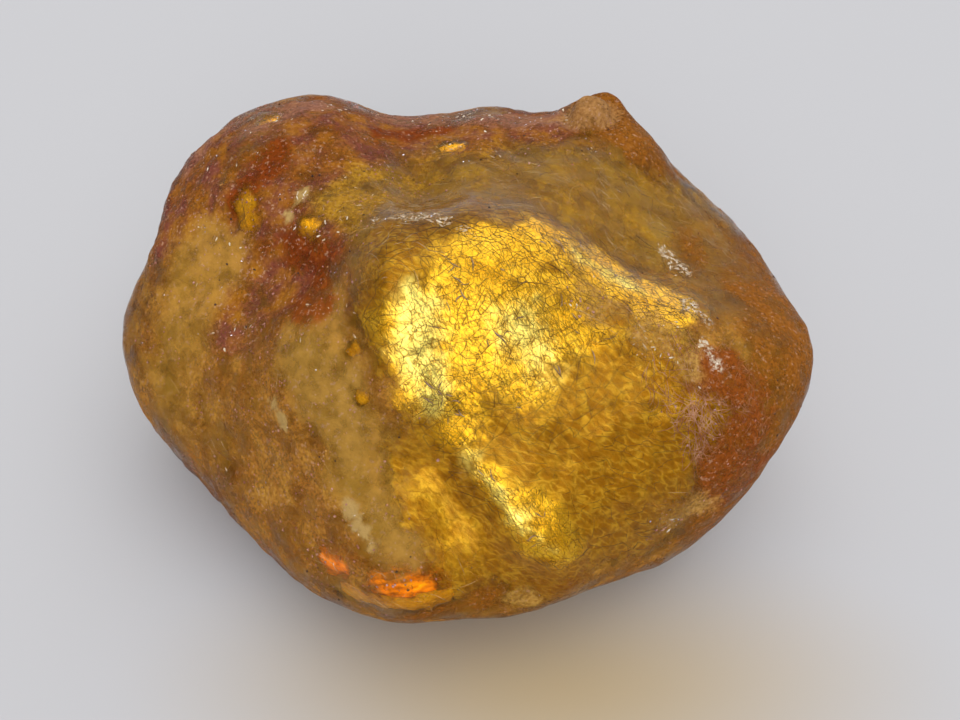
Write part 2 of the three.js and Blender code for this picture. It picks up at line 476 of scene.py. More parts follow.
@dataclass(frozen=True)
class Zoning:
    """Where each kind of skin lies.

    Attributes:
        broad: How the edges of the broad zones wander.
        finer: How the edges of the other zones do.
        yields: Pairs of zones, of which the first gives way to the second by a share.
        apart: How far apart in the noise the zones' edges are taken.
    """

    broad: Edge = Edge(4.0, 9.0)
    finer: tuple[Edge, ...] = (
        Edge(0.9, 1.6, (Zone.SCUFF, Zone.CREAM, Zone.WINDOW, Zone.GLOW, Zone.RIM)),
        Edge(1.7, 4.5, (Zone.FOIL, Zone.SCOOP, Zone.GLEAM, Zone.FROST, Zone.RED, Zone.KNOB)),
    )
    yields: tuple[tuple[Zone, Zone, float], ...] = (
        (Zone.CLEAR, Zone.SCOOP, 0.9),
        (Zone.GLEAM, Zone.FROST, 0.8),
        (Zone.FOIL, Zone.SCOOP, 1.0),
        (Zone.CRUST, Zone.CLEAR, 1.0),
        (Zone.CLOUD, Zone.CLEAR, 1.0),
        (Zone.CLOUD, Zone.SCOOP, 1.0),
    )
    apart: float = 3.7

    def masks(self, points: np.ndarray) -> Masks:
        """Work out every zone's mask.

        Args:
            points: Places in millimetres.

        Returns:
            For each zone, one value from 0 to 1 for each point.
        """
        found = {}
        for order, (zone, strokes) in enumerate(STROKES.items(), 1):
            edge = next((edge for edge in self.finer if zone in edge.zones), self.broad)
            push = edge.much * rough_noise(points, edge.patch, self.apart * order)
            found[zone] = np.max([stroke.cover(points, push) for stroke in strokes], axis=0)
        for zone, stronger, share in self.yields:
            found[zone] *= 1 - share * found[stronger]
        return found


# ---------------------------------------------------------------- node trees


class Wire:
    """A value on its way through a node tree, which can be added and multiplied like a number."""

    def __init__(self, tree: "Tree", socket: bpy.types.NodeSocket) -> None:
        """Take hold of a node's output."""
        self.tree = tree
        self.socket = socket

    def __add__(self, other: "Input") -> "Wire":
        """Add something to it."""
        return self.tree.math("ADD", self, other)

    def __sub__(self, other: "Input") -> "Wire":
        """Take something from it."""
        return self.tree.math("SUBTRACT", self, other)

    def __rsub__(self, other: float) -> "Wire":
        """Take it from a number."""
        return self.tree.math("SUBTRACT", other, self)

    def __mul__(self, other: "Input") -> "Wire":
        """Multiply it by something."""
        return self.tree.math("MULTIPLY", self, other)

    def __rtruediv__(self, other: float) -> "Wire":
        """Divide a number by it."""
        return self.tree.math("DIVIDE", other, self)


Input = Wire | float | tuple


class Effect(Enum):
    """The surface effects that several finishes share, each a node group.

    MOTTLE is soft patches: Size is in millimetres, and Sharp is how wide their edges are.
    STREAK is such patches drawn out Along one way, Long times longer than wide.
    NET is thin wandering lines: Cell and Line are in millimetres, and Long draws them out too.
    FACETS is small flat facets that each lean their own way: Size is in millimetres.
    """

    MOTTLE = "mottle"
    STREAK = "streak"
    NET = "net"
    FACETS = "facets"


class Tree:
    """A node tree that is built a node at a time."""

    def __init__(self, tree: bpy.types.NodeTree) -> None:
        """Take hold of a tree."""
        self.tree = tree

    def feed(self, socket: bpy.types.NodeSocket, value: Input) -> None:
        """Link a socket to a wire, or set it to a plain value.

        Args:
            socket: The socket.
            value: What feeds it; a colour may leave out its alpha.
        """
        if isinstance(value, Wire):
            self.tree.links.new(value.socket, socket)
        elif socket.type == "RGBA":
            socket.default_value = (*value, 1)
        else:
            socket.default_value = value

    def add(
        self,
        kind: str,
        inputs: dict[str | int, Input] | None = None,
        out: str | int = 0,
        **settings: object,
    ) -> Wire:
        """Add a node.

        Args:
            kind: The node's type, without its ShaderNode prefix.
            inputs: What feeds its sockets.
            out: Which of its outputs is wanted.
            **settings: The node's own properties.

        Returns:
            That output.
        """
        node = self.tree.nodes.new("ShaderNode" + kind)
        for name, value in settings.items():
            setattr(node, name, value)
        for name, value in (inputs or {}).items():
            self.feed(node.inputs[name], value)
        return Wire(self, node.outputs[out])

    def math(self, operation: str, *values: Input) -> Wire:
        """Do one step of arithmetic and return its result."""
        return self.add("Math", dict(enumerate(values)), operation=operation)

    def vector(self, operation: str, *values: Input) -> Wire:
        """Do one step of arithmetic on vectors.

        Args:
            operation: Which step.
            *values: What it works on; for SCALE the second is a number.

        Returns:
            Its result.
        """
        sockets = (0, "Scale") if operation == "SCALE" else (0, 1)
        out = "Value" if operation in ("DOT_PRODUCT", "LENGTH") else 0
        return self.add("VectorMath", dict(zip(sockets, values)), out, operation=operation)

    def fade(self, value: Input, low: Input, high: Input, start: Input = 0.0, stop: Input = 1.0) -> Wire:
        """Turn a value smoothly from start, at low, to stop, at high."""
        inputs = dict(enumerate((value, low, high, start, stop)))
        return self.add("MapRange", inputs, interpolation_type="SMOOTHSTEP")

    def between(self, share: Input, start: Input, stop: Input) -> Wire:
        """Go smoothly from start to stop as a share goes from 0 to 1."""
        return self.fade(share, 0.0, 1.0, start, stop)

    def blend(self, share: Input, first: Input, second: Input, how: str = "MIX") -> Wire:
        """Mix two colours and return the result."""
        return self.add("Mix", {0: share, 6: first, 7: second}, 2, data_type="RGBA", blend_type=how)

    def mask(self, name: str) -> Wire:
        """Read one of the piece's own masks."""
        return self.add("Attribute", out="Fac", attribute_name=name)

    def effect(self, effect: Effect, **inputs: Input) -> Wire:
        """Place a shared effect with its own values, and return its output."""
        return self.add("Group", inputs, node_tree=bpy.data.node_groups[effect.value])

    def mottle(self, size: float, sharp: float, start: float = 0.0, level: float = 0.5) -> Wire:
        """Place soft patches, by their size, their edges' width, their start in the noise and level."""
        return self.effect(Effect.MOTTLE, Size=size, Sharp=sharp, Start=start, Level=level)

    def shade(self, inputs: dict[str, Input]) -> None:
        """Feed the sockets of the finish's shader."""
        for name, value in inputs.items():
            self.feed(self.tree.nodes["Principled BSDF"].inputs[name], value)

    def bump(self, strength: float, distance_mm: float, height: Input) -> Wire:
        """Turn a height into a bumpy normal."""
        return self.add("Bump", {"Strength": strength, "Distance": distance_mm * MM, "Height": height})


class Effects:
    """Builds the shared effects, each once.

    Attributes:
        GRAIN: The detail of the noise that patches are made from.
        LONG: How far drawn-out patches are drawn out, unless a finish says otherwise.
    """

    GRAIN = {"Detail": 3.0, "Roughness": 0.6}
    LONG = 4.0

    def build(self) -> None:
        """Make every group."""
        self._patches(Effect.MOTTLE, 4.0)
        self._patches(Effect.STREAK, 1.0, drawn=True)
        self._net()
        self._facets()

    @staticmethod
    def _start(
        effect: Effect, usual: dict[str, float], out: str = "Value"
    ) -> tuple[Tree, dict[str, Wire]]:
        """Start a group.

        Args:
            effect: Which effect it is.
            usual: Its number inputs, besides Start, and their usual values.
            out: The name of its output.

        Returns:
            A builder for it, and its inputs with "Place": the place in millimetres, moved by Start to
            another part of the noise.
        """
        group = bpy.data.node_groups.new(effect.value, "ShaderNodeTree")
        for label, value in {"Start": 0.0, **usual}.items():
            socket = group.interface.new_socket(label, in_out="INPUT", socket_type="NodeSocketFloat")
            socket.default_value = value
        group.interface.new_socket(out, in_out="OUTPUT", socket_type="NodeSocketFloat")
        if "Long" in usual:
            group.interface.new_socket("Along", in_out="INPUT", socket_type="NodeSocketVector")
        tree = Tree(group)
        given = group.nodes.new("NodeGroupInput").outputs
        ends = {end.name: Wire(tree, end) for end in given if end.name}
        place = tree.vector("SCALE", tree.add("TexCoord", out="Object"), 1 / MM)
        shift = tree.add("CombineXYZ", dict.fromkeys(range(3), ends["Start"]))
        ends["Place"] = tree.vector("ADD", place, shift)
        return tree, ends

    @staticmethod
    def _end(tree: Tree, value: Wire) -> None:
        """Let a group put out a value."""
        tree.feed(tree.tree.nodes.new("NodeGroupOutput").inputs[0], value)

    @staticmethod
    def _drawn_out(tree: Tree, place: Wire, ends: dict[str, Wire]) -> Wire:
        """Press the place together along one way, which draws a pattern out that way."""
        share = tree.vector("DOT_PRODUCT", place, ends["Along"])
        cut = tree.vector("SCALE", ends["Along"], share * (1.0 - 1.0 / ends["Long"]))
        return tree.vector("SUBTRACT", place, cut)

    @staticmethod
    def _bent(tree: Tree, place: Wire, scale: float) -> Wire:
        """The place, led astray by a noise of some scale."""
        drift = tree.add("TexNoise", {"Vector": place, "Scale": scale, "Detail": 2.0}, "Color")
        return tree.vector("ADD", place, drift)

    def _patches(self, effect: Effect, size: float, drawn: bool = False) -> None:
        """Make soft patches.

        Args:
            effect: Which effect they are.
            size: Their usual size, in millimetres.
            drawn: Whether they are drawn out along one way.
        """
        usual = {"Size": size, "Sharp": 0.3, "Level": 0.5}
        tree, ends = self._start(effect, {**usual, "Long": self.LONG} if drawn else usual)
        place = self._drawn_out(tree, ends["Place"], ends) if drawn else ends["Place"]
        inputs = {"Vector": place, "Scale": 1.0 / ends["Size"], **self.GRAIN, "Distortion": 0.15 * drawn}
        half = ends["Sharp"] * 0.5
        value = tree.fade(tree.add("TexNoise", inputs), ends["Level"] - half, ends["Level"] + half)
        self._end(tree, value)

    def _net(self) -> None:
        """Make the net of thin wandering lines."""
        tree, ends = self._start(Effect.NET, {"Cell": 0.8, "Line": 0.08, "Long": 1.6})
        place = self._drawn_out(tree, self._bent(tree, ends["Place"], 0.9), ends)
        inputs = {"Vector": place, "Scale": 1.0 / ends["Cell"]}
        edge = tree.add("TexVoronoi", inputs, "Distance", feature="DISTANCE_TO_EDGE")
        self._end(tree, tree.fade(edge * ends["Cell"], 0.0, ends["Line"], 1.0, 0.0))

    def _facets(self) -> None:
        """Make the small flat facets, as a height."""
        tree, ends = self._start(Effect.FACETS, {"Size": 1.5, "Lean": 0.3}, "Height")
        inputs = {"Vector": self._bent(tree, ends["Place"], 0.7), "Scale": 1.0 / ends["Size"]}
        cell = tree.add("TexVoronoi", inputs, "Color")
        way = tree.vector("SCALE", tree.vector("SUBTRACT", cell, (0.5, 0.5, 0.5)), ends["Lean"] * 2.0)
        self._end(tree, tree.vector("DOT_PRODUCT", ends["Place"], way))


# ---------------------------------------------------------------- finishes


RIDGE_WAY: Place = (0.43, -0.69, -0.58)
CRUST_WAY: Place = (0.60, 0.61, 0.52)
WRINKLE_WAY: Place = (0.86, -0.32, -0.40)


@dataclass(frozen=True)
class Finish:
    """A finish.

    Attributes:
        name: The material's name.
    """

    name: str

    def make(self) -> bpy.types.Material:
        """Build the material."""
        material = bpy.data.materials.new(self.name)
        material.use_nodes = True
        self.wire(Tree(material.node_tree), material)
        return material

    def wire(self, tree: Tree, material: bpy.types.Material) -> None:
        """Wire up the material: each kind of finish has its own way.

        Args:
            tree: The material's nodes.
            material: The material.
        """
        raise NotImplementedError


@dataclass(frozen=True)
class ResinFinish(Finish):
    """See-through fossil resin.

    Attributes:
        ior: How strongly it bends light.
        density: How fast it takes up light, for each metre.
        passed: The share of each colour that its absorption leaves alone.
        sheen: The tint of its reflections.
        stained: The tint of its skin, where that is most stained.
        blur: How much rougher its grain makes it.
        waves: The height of its grain.
    """

    name: str = "resin"
    ior: float = 1.54
    density: float = 150.0
    passed: Colour = (0.98, 0.80, 0.03)
    sheen: Colour = (0.75, 0.45, 0.08)
    stained: Colour = (0.97, 0.93, 0.84)
    blur: float = 0.08
    waves: float = 0.6

    def wire(self, tree: Tree, material: bpy.types.Material) -> None:
        """Wire up the see-through shader and its absorption.

        Args:
            tree: The material's nodes.
            material: The material.
        """
        grain = tree.mottle(2.0, 0.6)
        fine = tree.mottle(0.6, 0.6, 50.0)
        tree.shade({
            "IOR": self.ior,
            "Transmission Weight": 1.0,
            "Specular Tint": self.sheen,
            "Base Color": tree.blend(grain, self.stained, (1, 1, 1)),
            "Roughness": tree.mask("dull") + grain * self.blur,
            "Normal": tree.bump(0.25, 0.12, (grain + fine) * self.waves),
        })
        volume = tree.add("VolumeAbsorption", {"Color": self.passed, "Density": self.density})
        tree.feed(material.node_tree.nodes["Material Output"].inputs["Volume"], volume)


@dataclass(frozen=True)
class RindFinish(Finish):
    """The weathered rind: thin, patchy, brown to tan, with fine grains and streaks.

    Attributes:
        roughness: The least and greatest blur of its shine.
        shine: How strong its shine is.
        tint: The tint of its shine.
        grime: What darkens it between its grains.
        fleck: The colour of its flecks.
        cream: The colour of its cream chips.
        chalk: The colour of its scuffs.
        tan: Its two colours where nothing else lies.
        brown: The crust's own two colours.
        red: The two colours of its red patches.
        stains: What else tints tan and crust: streaks, honey, rake and purple.
        ragged: How far the zones' edges break up.
        full: How solid it is at most.
    """

    name: str = "rind"
    roughness: tuple[float, float] = (0.45, 0.80)
    shine: float = 0.06
    tint: Colour = (1.0, 0.70, 0.38)
    grime: Colour = (0.62, 0.52, 0.46)
    fleck: Colour = (0.58, 0.34, 0.22)
    cream: Colour = (0.54, 0.35, 0.12)
    chalk: Colour = (0.74, 0.62, 0.46)
    tan: tuple[Colour, Colour] = ((0.46, 0.165, 0.024), (0.66, 0.34, 0.055))
    brown: tuple[Colour, Colour] = ((0.19, 0.040, 0.005), (0.36, 0.115, 0.011))
    red: tuple[Colour, Colour] = ((0.14, 0.018, 0.003), (0.32, 0.06, 0.006))
    stains: tuple[Colour, ...] = (
        (0.34, 0.12, 0.026),
        (0.54, 0.24, 0.022),
        (0.40, 0.14, 0.03),
        (0.23, 0.062, 0.056),
    )
    ragged: float = 0.35
    full: float = 0.95

    def wire(self, tree: Tree, material: bpy.types.Material) -> None:
        """Wire up the rind's colour, cover, shine and grain.

        Args:
            tree: The material's nodes.
            material: The material; not used here.
        """
        broad = tree.mottle(4.5, 0.4)
        small = tree.mottle(1.6, 0.6, 30.0)
        grit = tree.mottle(0.4, 0.6, 110.0)
        flecks = tree.mottle(0.45, 0.10, 70.0, 0.63)
        crumbs = tree.mottle(0.45, 0.14, 55.0, 0.52)
        rake = tree.effect(Effect.STREAK, Size=0.9, Long=3.0, Along=CRUST_WAY, Sharp=0.5, Start=12.0)
        chalk = tree.fade(tree.mask("scuff"), 0.1, 0.9) * crumbs
        cream = self._broken(tree, Zone.CREAM, (rake - 0.6) * 0.6)
        smooth = tree.math("MAXIMUM", tree.mask("straw"), tree.mask("pale")) * 0.9
        clean = tree.math("MAXIMUM", tree.between(grit, 0.1, 0.8), smooth)
        loose = (small + grit * 0.5 - 0.75) * self.ragged
        colour = self._colour(tree, broad, small, loose, rake)
        colour = tree.blend(clean, tree.blend(1.0, colour, self.grime, "MULTIPLY"), colour)
        colour = tree.blend(flecks * 0.55, colour, self.fleck)
        colour = tree.blend(cream, colour, self.cream)
        calm = grit + smooth * (0.5 - grit)
        worn = (broad + small) * 0.35 + calm * 0.24 - 0.5
        alpha = tree.fade(tree.mask("cover") + worn * 0.9, 0.1, 1.0) * self.full
        alpha = tree.math("MAXIMUM", alpha, chalk * 0.75)
        height = small * 0.7 + rake * 0.2 + grit * 0.3
        tree.shade({
            "Base Color": tree.blend(chalk, colour, self.chalk),
            "Alpha": tree.math("MAXIMUM", alpha, cream * 0.7),
            "Roughness": tree.between(small, *self.roughness),
            "Specular IOR Level": self.shine,
            "Specular Tint": self.tint,
            "Normal": tree.bump(0.8, 0.24, height),
        })

    @staticmethod
    def _broken(tree: Tree, zone: Zone, loose: Input) -> Wire:
        """One of the rind's masks, with its edges broken up by something loose."""
        return tree.fade(tree.mask(zone.value) + loose, 0.1, 0.9)

    def _colour(self, tree: Tree, broad: Wire, small: Wire, loose: Wire, rake: Wire) -> Wire:
        """Work out the rind's colour, before its grime and flecks.

        Args:
            tree: The finish's nodes.
            broad: Broad patches.
            small: Small patches.
            loose: What breaks up the edges of its zones.
            rake: Streaks across the crust.

        Returns:
            The colour.
        """
        streaked, honey, raked, purpled = self.stains
        ridge = tree.effect(Effect.STREAK, Size=1.6, Long=5.0, Along=RIDGE_WAY, Sharp=0.4)
        purple = tree.mottle(3.0, 0.3, 140.0, 0.51)
        brown = tree.blend(small, *self.brown)
        for share, stain in ((broad * 0.75, honey), (rake * 0.3, raked), (purple * 0.85, purpled)):
            brown = tree.blend(share, brown, stain)
        colour = tree.blend(ridge * 0.6, tree.blend(broad, *self.tan), streaked)
        for zone, share, shade in (
            (Zone.CRUST, 1.0, brown),
            (Zone.OLIVE, 0.9, (0.62, 0.34, 0.030)),
            (Zone.STRAW, 0.85, (0.55, 0.29, 0.05)),
            (Zone.BROWN, 1.0, (0.35, 0.125, 0.014)),
            (Zone.RED, 0.9, tree.blend(small, *self.red)),
            (Zone.RIM, 0.75, (0.40, 0.19, 0.125)),
            (Zone.KNOB, 1.0, (0.50, 0.26, 0.085)),
            (Zone.PALE, 0.8, (0.43, 0.235, 0.045)),
            (Zone.FIBRE, 1.0, (0.32, 0.085, 0.012)),
            (Zone.FROST, 0.85, (0.68, 0.40, 0.10)),
            (Zone.CHIP, 0.8, (0.62, 0.37, 0.08)),
        ):
            colour = tree.blend(self._broken(tree, zone, loose) * share, colour, shade)
        return colour


@dataclass(frozen=True)
class FoilFinish(Finish):
    """A sealed fracture that throws the light back, like crumpled foil, with painted shade and painted
    highlights in its colour.

    Attributes:
        amber: Its two colours where it is deep in shadow, as painted shade.
        gold: Its two colours where it shines, as painted light.
        pale: Its colour where it shines most, as a painted highlight.
        crease: The colour of its fine creases.
        roughness: How blurred its shine is in shadow, and where it shines.
        metallic: How much it shines like metal where it faces the front.
        away: How much it does so where it faces away.
        shadow: How much it does so in shadow.
        painted_glow_strength: How strongly its colour glows by emission where it shines: a painted glow,
            standing in for light gathered in the resin.
        lean: How far its small plates lean to the front where it faces away.
        lean_way: The way in which they lean.
        flow: The way in which it is drawn out.
    """

    amber: tuple[Colour, Colour]
    gold: tuple[Colour, Colour]
    pale: Colour
    crease: Colour
    roughness: tuple[float, float] = (0.38, 0.25)
    metallic: float = 1.0
    away: float = 0.9
    shadow: float = 0.5
    painted_glow_strength: float = 0.0
    lean: float = 0.42
    lean_way: Place = (0.0, -0.66, 0.75)
    flow: Place = (0.55, -0.60, -0.58)

    def wire(self, tree: Tree, material: bpy.types.Material) -> None:
        """Wire up the sheet's colour, shine, edges and crumpling.

        Args:
            tree: The material's nodes.
            material: The material.
        """
        torn = tree.mottle(1.4, 0.6, 23.0)
        wisps = tree.effect(Effect.STREAK, Size=0.55, Long=4.0, Along=self.flow, Sharp=0.75, Start=33.0)
        loose = torn + wisps - 1.0
        # Where the sheet shines it is painted gold rather than amber, as painted light, and is also
        # smoother and more like metal.
        shine = tree.fade(tree.mask("shine") + loose * 0.35, 0.05, 1.0)
        creases = self._net(tree, 0.6, 0.06, 2.1, self.flow, 3.0) * tree.mottle(1.1, 0.25, 61.0)
        creases = creases * tree.between(shine, 0.6, 0.75)
        # Painted glints: thin bright lines painted gold on the shaded parts of the sheet.
        painted_glints = self._net(tree, 0.75, 0.17, 3.0, WRINKLE_WAY, 17.0) * torn
        colour = self._colour(tree, shine, wisps, painted_glints, loose)
        colour = tree.blend(creases, colour, self.crease)
        facing = tree.mask("facing")
        tree.shade({
            "Base Color": colour,
            "Roughness": tree.between(shine, *self.roughness),
            "Metallic": tree.between(shine, self.shadow, tree.between(facing, self.away, self.metallic)),
            "Alpha": tree.between(tree.mask("reach") + loose * 0.5, 0.0, 1.0),
            "Specular IOR Level": 0.1,
        })
        # Painted glow: emission where it shines, though the sheet is no lamp.
        if self.painted_glow_strength > 0:
            lit = tree.blend(shine * tree.between(wisps, 0.35, 1.0), (0, 0, 0), colour)
            tree.shade({"Emission Color": lit, "Emission Strength": self.painted_glow_strength})
            material.cycles.emission_sampling = "NONE"
        crinkle = tree.effect(Effect.FACETS, Size=1.0, Lean=0.035, Start=5.0)
        height = crinkle + creases * -0.02 + wisps * tree.between(shine, 0.014, 0.035)
        turn = tree.vector("SCALE", self.lean_way, tree.between(facing, self.lean, 0.0) * shine)
        turned = tree.vector("ADD", tree.bump(1.0, 1.0, height), turn)
        tree.shade({"Normal": tree.vector("NORMALIZE", turned)})

    @staticmethod
    def _net(tree: Tree, cell: float, line: float, long: float, along: Place, start: float) -> Wire:
        """Place a net of lines."""
        return tree.effect(Effect.NET, Cell=cell, Line=line, Long=long, Along=along, Start=start)

    def _colour(self, tree: Tree, shine: Wire, wisps: Wire, painted_glints: Wire, loose: Wire) -> Wire:
        """Work out the sheet's colour, before its creases.

        Args:
            tree: The finish's nodes.
            shine: How strongly it shines, which paints it gold rather than amber.
            wisps: Its streaks.
            painted_glints: Thin bright lines painted on it in shadow, as painted glints.
            loose: What breaks up its edges.

        Returns:
            The colour.
        """
        # Painted highlight: the sheet is painted pale in its brightest places.
        gleam = tree.fade(tree.mask("gleam") + loose * 0.35, 0.1, 1.0)
        amber = tree.blend(painted_glints * 0.85, tree.blend(wisps, *self.amber), self.gold[1])
        gold = tree.blend(tree.mottle(3.5, 0.5, 11.0), *self.gold)
        return tree.blend(gleam, tree.blend(shine, amber, gold), self.pale)


@dataclass(frozen=True)
class HazeFinish(Finish):
    """Milky resin inside the lump.

    Attributes:
        light: Its palest colour.
        deep: Its deepest colour.
        patch: The size of its patches, in millimetres.
        solid: How solid its thinnest and its thickest patches are.
    """

    light: Colour
    deep: Colour
    patch: float
    solid: tuple[float, float]

    def wire(self, tree: Tree, material: bpy.types.Material) -> None:
        """Wire up the haze's patches.

        Args:
            tree: The material's nodes.
            material: The material; not used here.
        """
        patch = tree.mottle(self.patch, 0.5, 40.0)
        tree.shade({
            "Base Color": tree.blend(patch, self.deep, self.light),
            "Alpha": tree.between(patch, *self.solid),
            "Roughness": 0.9,
            "Specular IOR Level": 0.1,
        })


@dataclass(frozen=True)
class GrainFinish(Finish):
    """A mottled finish for cracks, grains and flecks.

    Attributes:
        dark: One of its colours.
        light: The other.
        roughness: How blurred its shine is.
        shine: How strong its shine is.
        metallic: How much it shines like metal.
    """

    dark: Colour
    light: Colour
    roughness: float = 0.6
    shine: float = 0.5
    metallic: float = 0.0

    def wire(self, tree: Tree, material: bpy.types.Material) -> None:
        """Wire up the mottled colour.

        Args:
            tree: The material's nodes.
            material: The material; not used here.
        """
        tree.shade({
            "Base Color": tree.blend(tree.mottle(2.0, 0.3, 90.0), self.dark, self.light),
            "Roughness": self.roughness,
            "Specular IOR Level": self.shine,
            "Metallic": self.metallic,
        })


# ---------------------------------------------------------------- the body, and skins taken from it


@dataclass(frozen=True)
class Relief:
    """One layer of cloudy relief on a skin.

    Attributes:
        size: The size of its bumps, in millimetres.
        height: How far it moves the skin, in millimetres.
        depth: How many finer layers it has.
        mask: The mask that limits it, or nothing for all over.
    """

    size: float
    height: float
    depth: int
    mask: str = ""

    def apply(self, obj: bpy.types.Object) -> None:
        """Press the relief into a mesh.

        Args:
            obj: The mesh object.
        """
        texture = bpy.data.textures.new("relief", "CLOUDS")
        texture.noise_scale = self.size * MM
        texture.noise_depth = self.depth
        push_skin(obj, self.height, self.mask, mid_level=0.5, texture=texture, texture_coords="LOCAL")


@dataclass(frozen=True)
class Piece:
    """One piece that rides on the lump.

    Attributes:
        name: The piece's name.
        finish: Its finish.
    """

    name: str
    finish: Finish

    def build(self, source: "bpy.types.Object | Skin") -> bpy.types.Object:
        """Make the piece and dress it.

        Args:
            source: What it is made from: the part's own node for the body, or else the body's skin.

        Returns:
            The piece, riding with the lump.
        """
        piece = self.model(source)
        piece.data.materials.clear()
        piece.data.materials.append(self.finish.make())
        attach(piece, BODY)
        return piece

    def model(self, source: "bpy.types.Object | Skin") -> bpy.types.Object:
        """Make the piece's mesh: each kind of piece has its own way.

        Args:
            source: What it is made from.

        Returns:
            The bare piece.
        """
        raise NotImplementedError


@dataclass(frozen=True)
class Lump(Piece):
    """The clear resin body.

    Attributes:
        weld: How near to one another points are joined, in millimetres.
        voxel: How fine its skin is, in millimetres.
        smoothing: How many times it is smoothed.
        foot: The heights below which its skin stays flat, and above which it is free.
        reliefs: The layers of relief on its skin.
        dull: How dull each zone is.
        plain: How dull its skin is anywhere, and outside the clear faces.
        polish: How much of that the windows take away.
        bead: The middle of the bead on the back rim.
        bead_radius: How far the bead reaches, in millimetres.
        bead_rise: How far it stands up.
        groove: How deep the groove round it is.
    """

    name: str = "gum_body"
    finish: Finish = ResinFinish()
    weld: float = 0.01
    voxel: float = 0.45
    smoothing: int = 8
    foot: tuple[float, float] = (0.3, 2.0)
    reliefs: tuple[Relief, ...] = (
        Relief(5.0, 0.5, 2, "free"),
        Relief(2.4, 0.9, 3, "crust"),
        Relief(3.0, 0.45, 3, "cloud"),
        Relief(2.6, 0.22, 1, "clear"),
        Relief(4.0, 0.25, 1, "scoop"),
    )
    dull: Shares = (
        (Zone.CRUST, 0.16),
        (Zone.CLOUD, 0.12),
        (Zone.OLIVE, 0.08),
        (Zone.FROST, 0.22),
        (Zone.SCUFF, 0.30),
    )
    plain: tuple[float, float] = (0.04, 0.08)
    polish: float = 0.7
    bead: Place = (15.6, 20.6, 39.2)
    bead_radius: float = 2.7
    bead_rise: float = 1.0
    groove: float = 0.8

    def model(self, source: bpy.types.Object) -> bpy.types.Object:
        """Make the body from the part's own node, which stays as it is.

        Args:
            source: The node.

        Returns:
            The body, with every zone's mask.
        """
        body = copy_of(source, self.name)
        with edit_mode(body):
            bpy.ops.mesh.remove_doubles(threshold=self.weld * MM)
        body.data.remesh_voxel_size = self.voxel * MM
        bpy.ops.object.voxel_remesh()
        modify(body, "SMOOTH", iterations=self.smoothing)
        points = points_of(body)
        masks = Zoning().masks(points)
        free = smoothstep(points[:, 2], *self.foot)
        weigh(body, "free", free)
        for zone, mask in masks.items():
            weigh(body, zone.value, mask * free)
        self._bead(body, points)
        for relief in self.reliefs:
            relief.apply(body)
        least, usual = self.plain
        covered = usual * (1 - masks[Zone.CLEAR]) * (1 - masks[Zone.SCOOP])
        dull = np.maximum(strongest(masks, self.dull), np.maximum(covered, least))
        write_mask(body, "dull", dull * (1 - self.polish * masks[Zone.WINDOW]))
        bpy.ops.object.shade_smooth()
        return body

    def _bead(self, body: bpy.types.Object, points: np.ndarray) -> None:
        """Raise the bead on the back rim, with a groove round it.

        Args:
            body: The body.
            points: Its points, in millimetres.
        """
        away = np.linalg.norm(points - self.bead, axis=1) / self.bead_radius
        weigh(body, "bead", 1 - smoothstep(away, 0.35, 1.0))
        weigh(body, "groove", smoothstep(away, 0.8, 1.1) * (1 - smoothstep(away, 1.15, 1.7)))
        push_skin(body, self.bead_rise, "bead")
        push_skin(body, -self.groove, "groove")


@dataclass(frozen=True)
class Hit:
    """A place on the skin.

    Attributes:
        place: Where it is, in millimetres.
        normal: The way the skin faces there.
        face: The skin's face there.
    """

    place: Vector
    normal: Vector
    face: int


class Skin:
    """The body's skin, as something to take skins from and to lay small things on.

    Attributes:
        FAR: How far out a search for the skin starts, in millimetres.
        CLUMP: The size of the clumps that scattered things make, in millimetres.
        LOOSE: How far a scattered thing may lie from its point of the skin, in millimetres.
    """

    FAR = 60.0
    CLUMP = 3.5
    LOOSE = 0.25

    def __init__(self, body: bpy.types.Object) -> None:
        """Take hold of a body's skin."""
        self.body = body
        self.corners = [polygon.vertices[:] for polygon in body.data.polygons]
        self.points = points_of(body)
        self.tree = BVHTree.FromPolygons(self.points.tolist(), self.corners)
        self.masks = {zone: read_mask(body, zone.value) for zone in Zone}

    def below(self, crazed: "CrackField", flat: np.ndarray) -> Hit | None:
        """Find the skin below a place on a patch's flat plan.

        Args:
            crazed: The patch.
            flat: The place on its plan, in millimetres.

        Returns:
            The place on the skin, or None.
        """
        out = Vector(crazed.facing).normalized()
        across = Vector((0, 0, 1)).cross(out)
        across = across.normalized() if across.length > 0.1 else Vector((1, 0, 0))
        up = out.cross(across)
        start = Vector(crazed.centre) + across * flat[0] + up * flat[1] + out * self.FAR
        place, normal, face, _ = self.tree.ray_cast(start, -out)
        return None if place is None else Hit(place, normal, face)

    def nearest(self, place: np.ndarray) -> tuple[np.ndarray, np.ndarray]:
        """Find the skin nearest to a place, and the way it faces there."""
        found, normal, _, _ = self.tree.find_nearest(Vector(place))
        return np.array(found), np.array(normal)

    def scatter(
        self, zones: Shares, count: int, chance: np.random.Generator
    ) -> list[tuple[np.ndarray, np.ndarray]]:
        """Choose places on the skin by chance.

        Args:
            zones: The zones to choose in, each with how thickly.
            count: How many places to choose.
            chance: What the chances are drawn from.

        Returns:
            Each place, and the way the skin faces there.
        """
        clumps = rough_noise(self.points, self.CLUMP, float(chance.uniform(0, 50)), 2)
        weights = strongest(self.masks, zones) ** 1.5 * smoothstep(clumps, -0.35, 0.6)
        chosen = chance.choice(len(weights), count, p=weights / weights.sum())
        spots = self.points[chosen] + chance.uniform(-self.LOOSE, self.LOOSE, (count, 3))
        return [self.nearest(spot) for spot in spots]

    def weight(self, hit: Hit, zone: Zone | None) -> float:
        """How strongly a place is in a zone, or 1 for no zone."""
        return 1.0 if zone is None else float(self.masks[zone][self.corners[hit.face][0]])


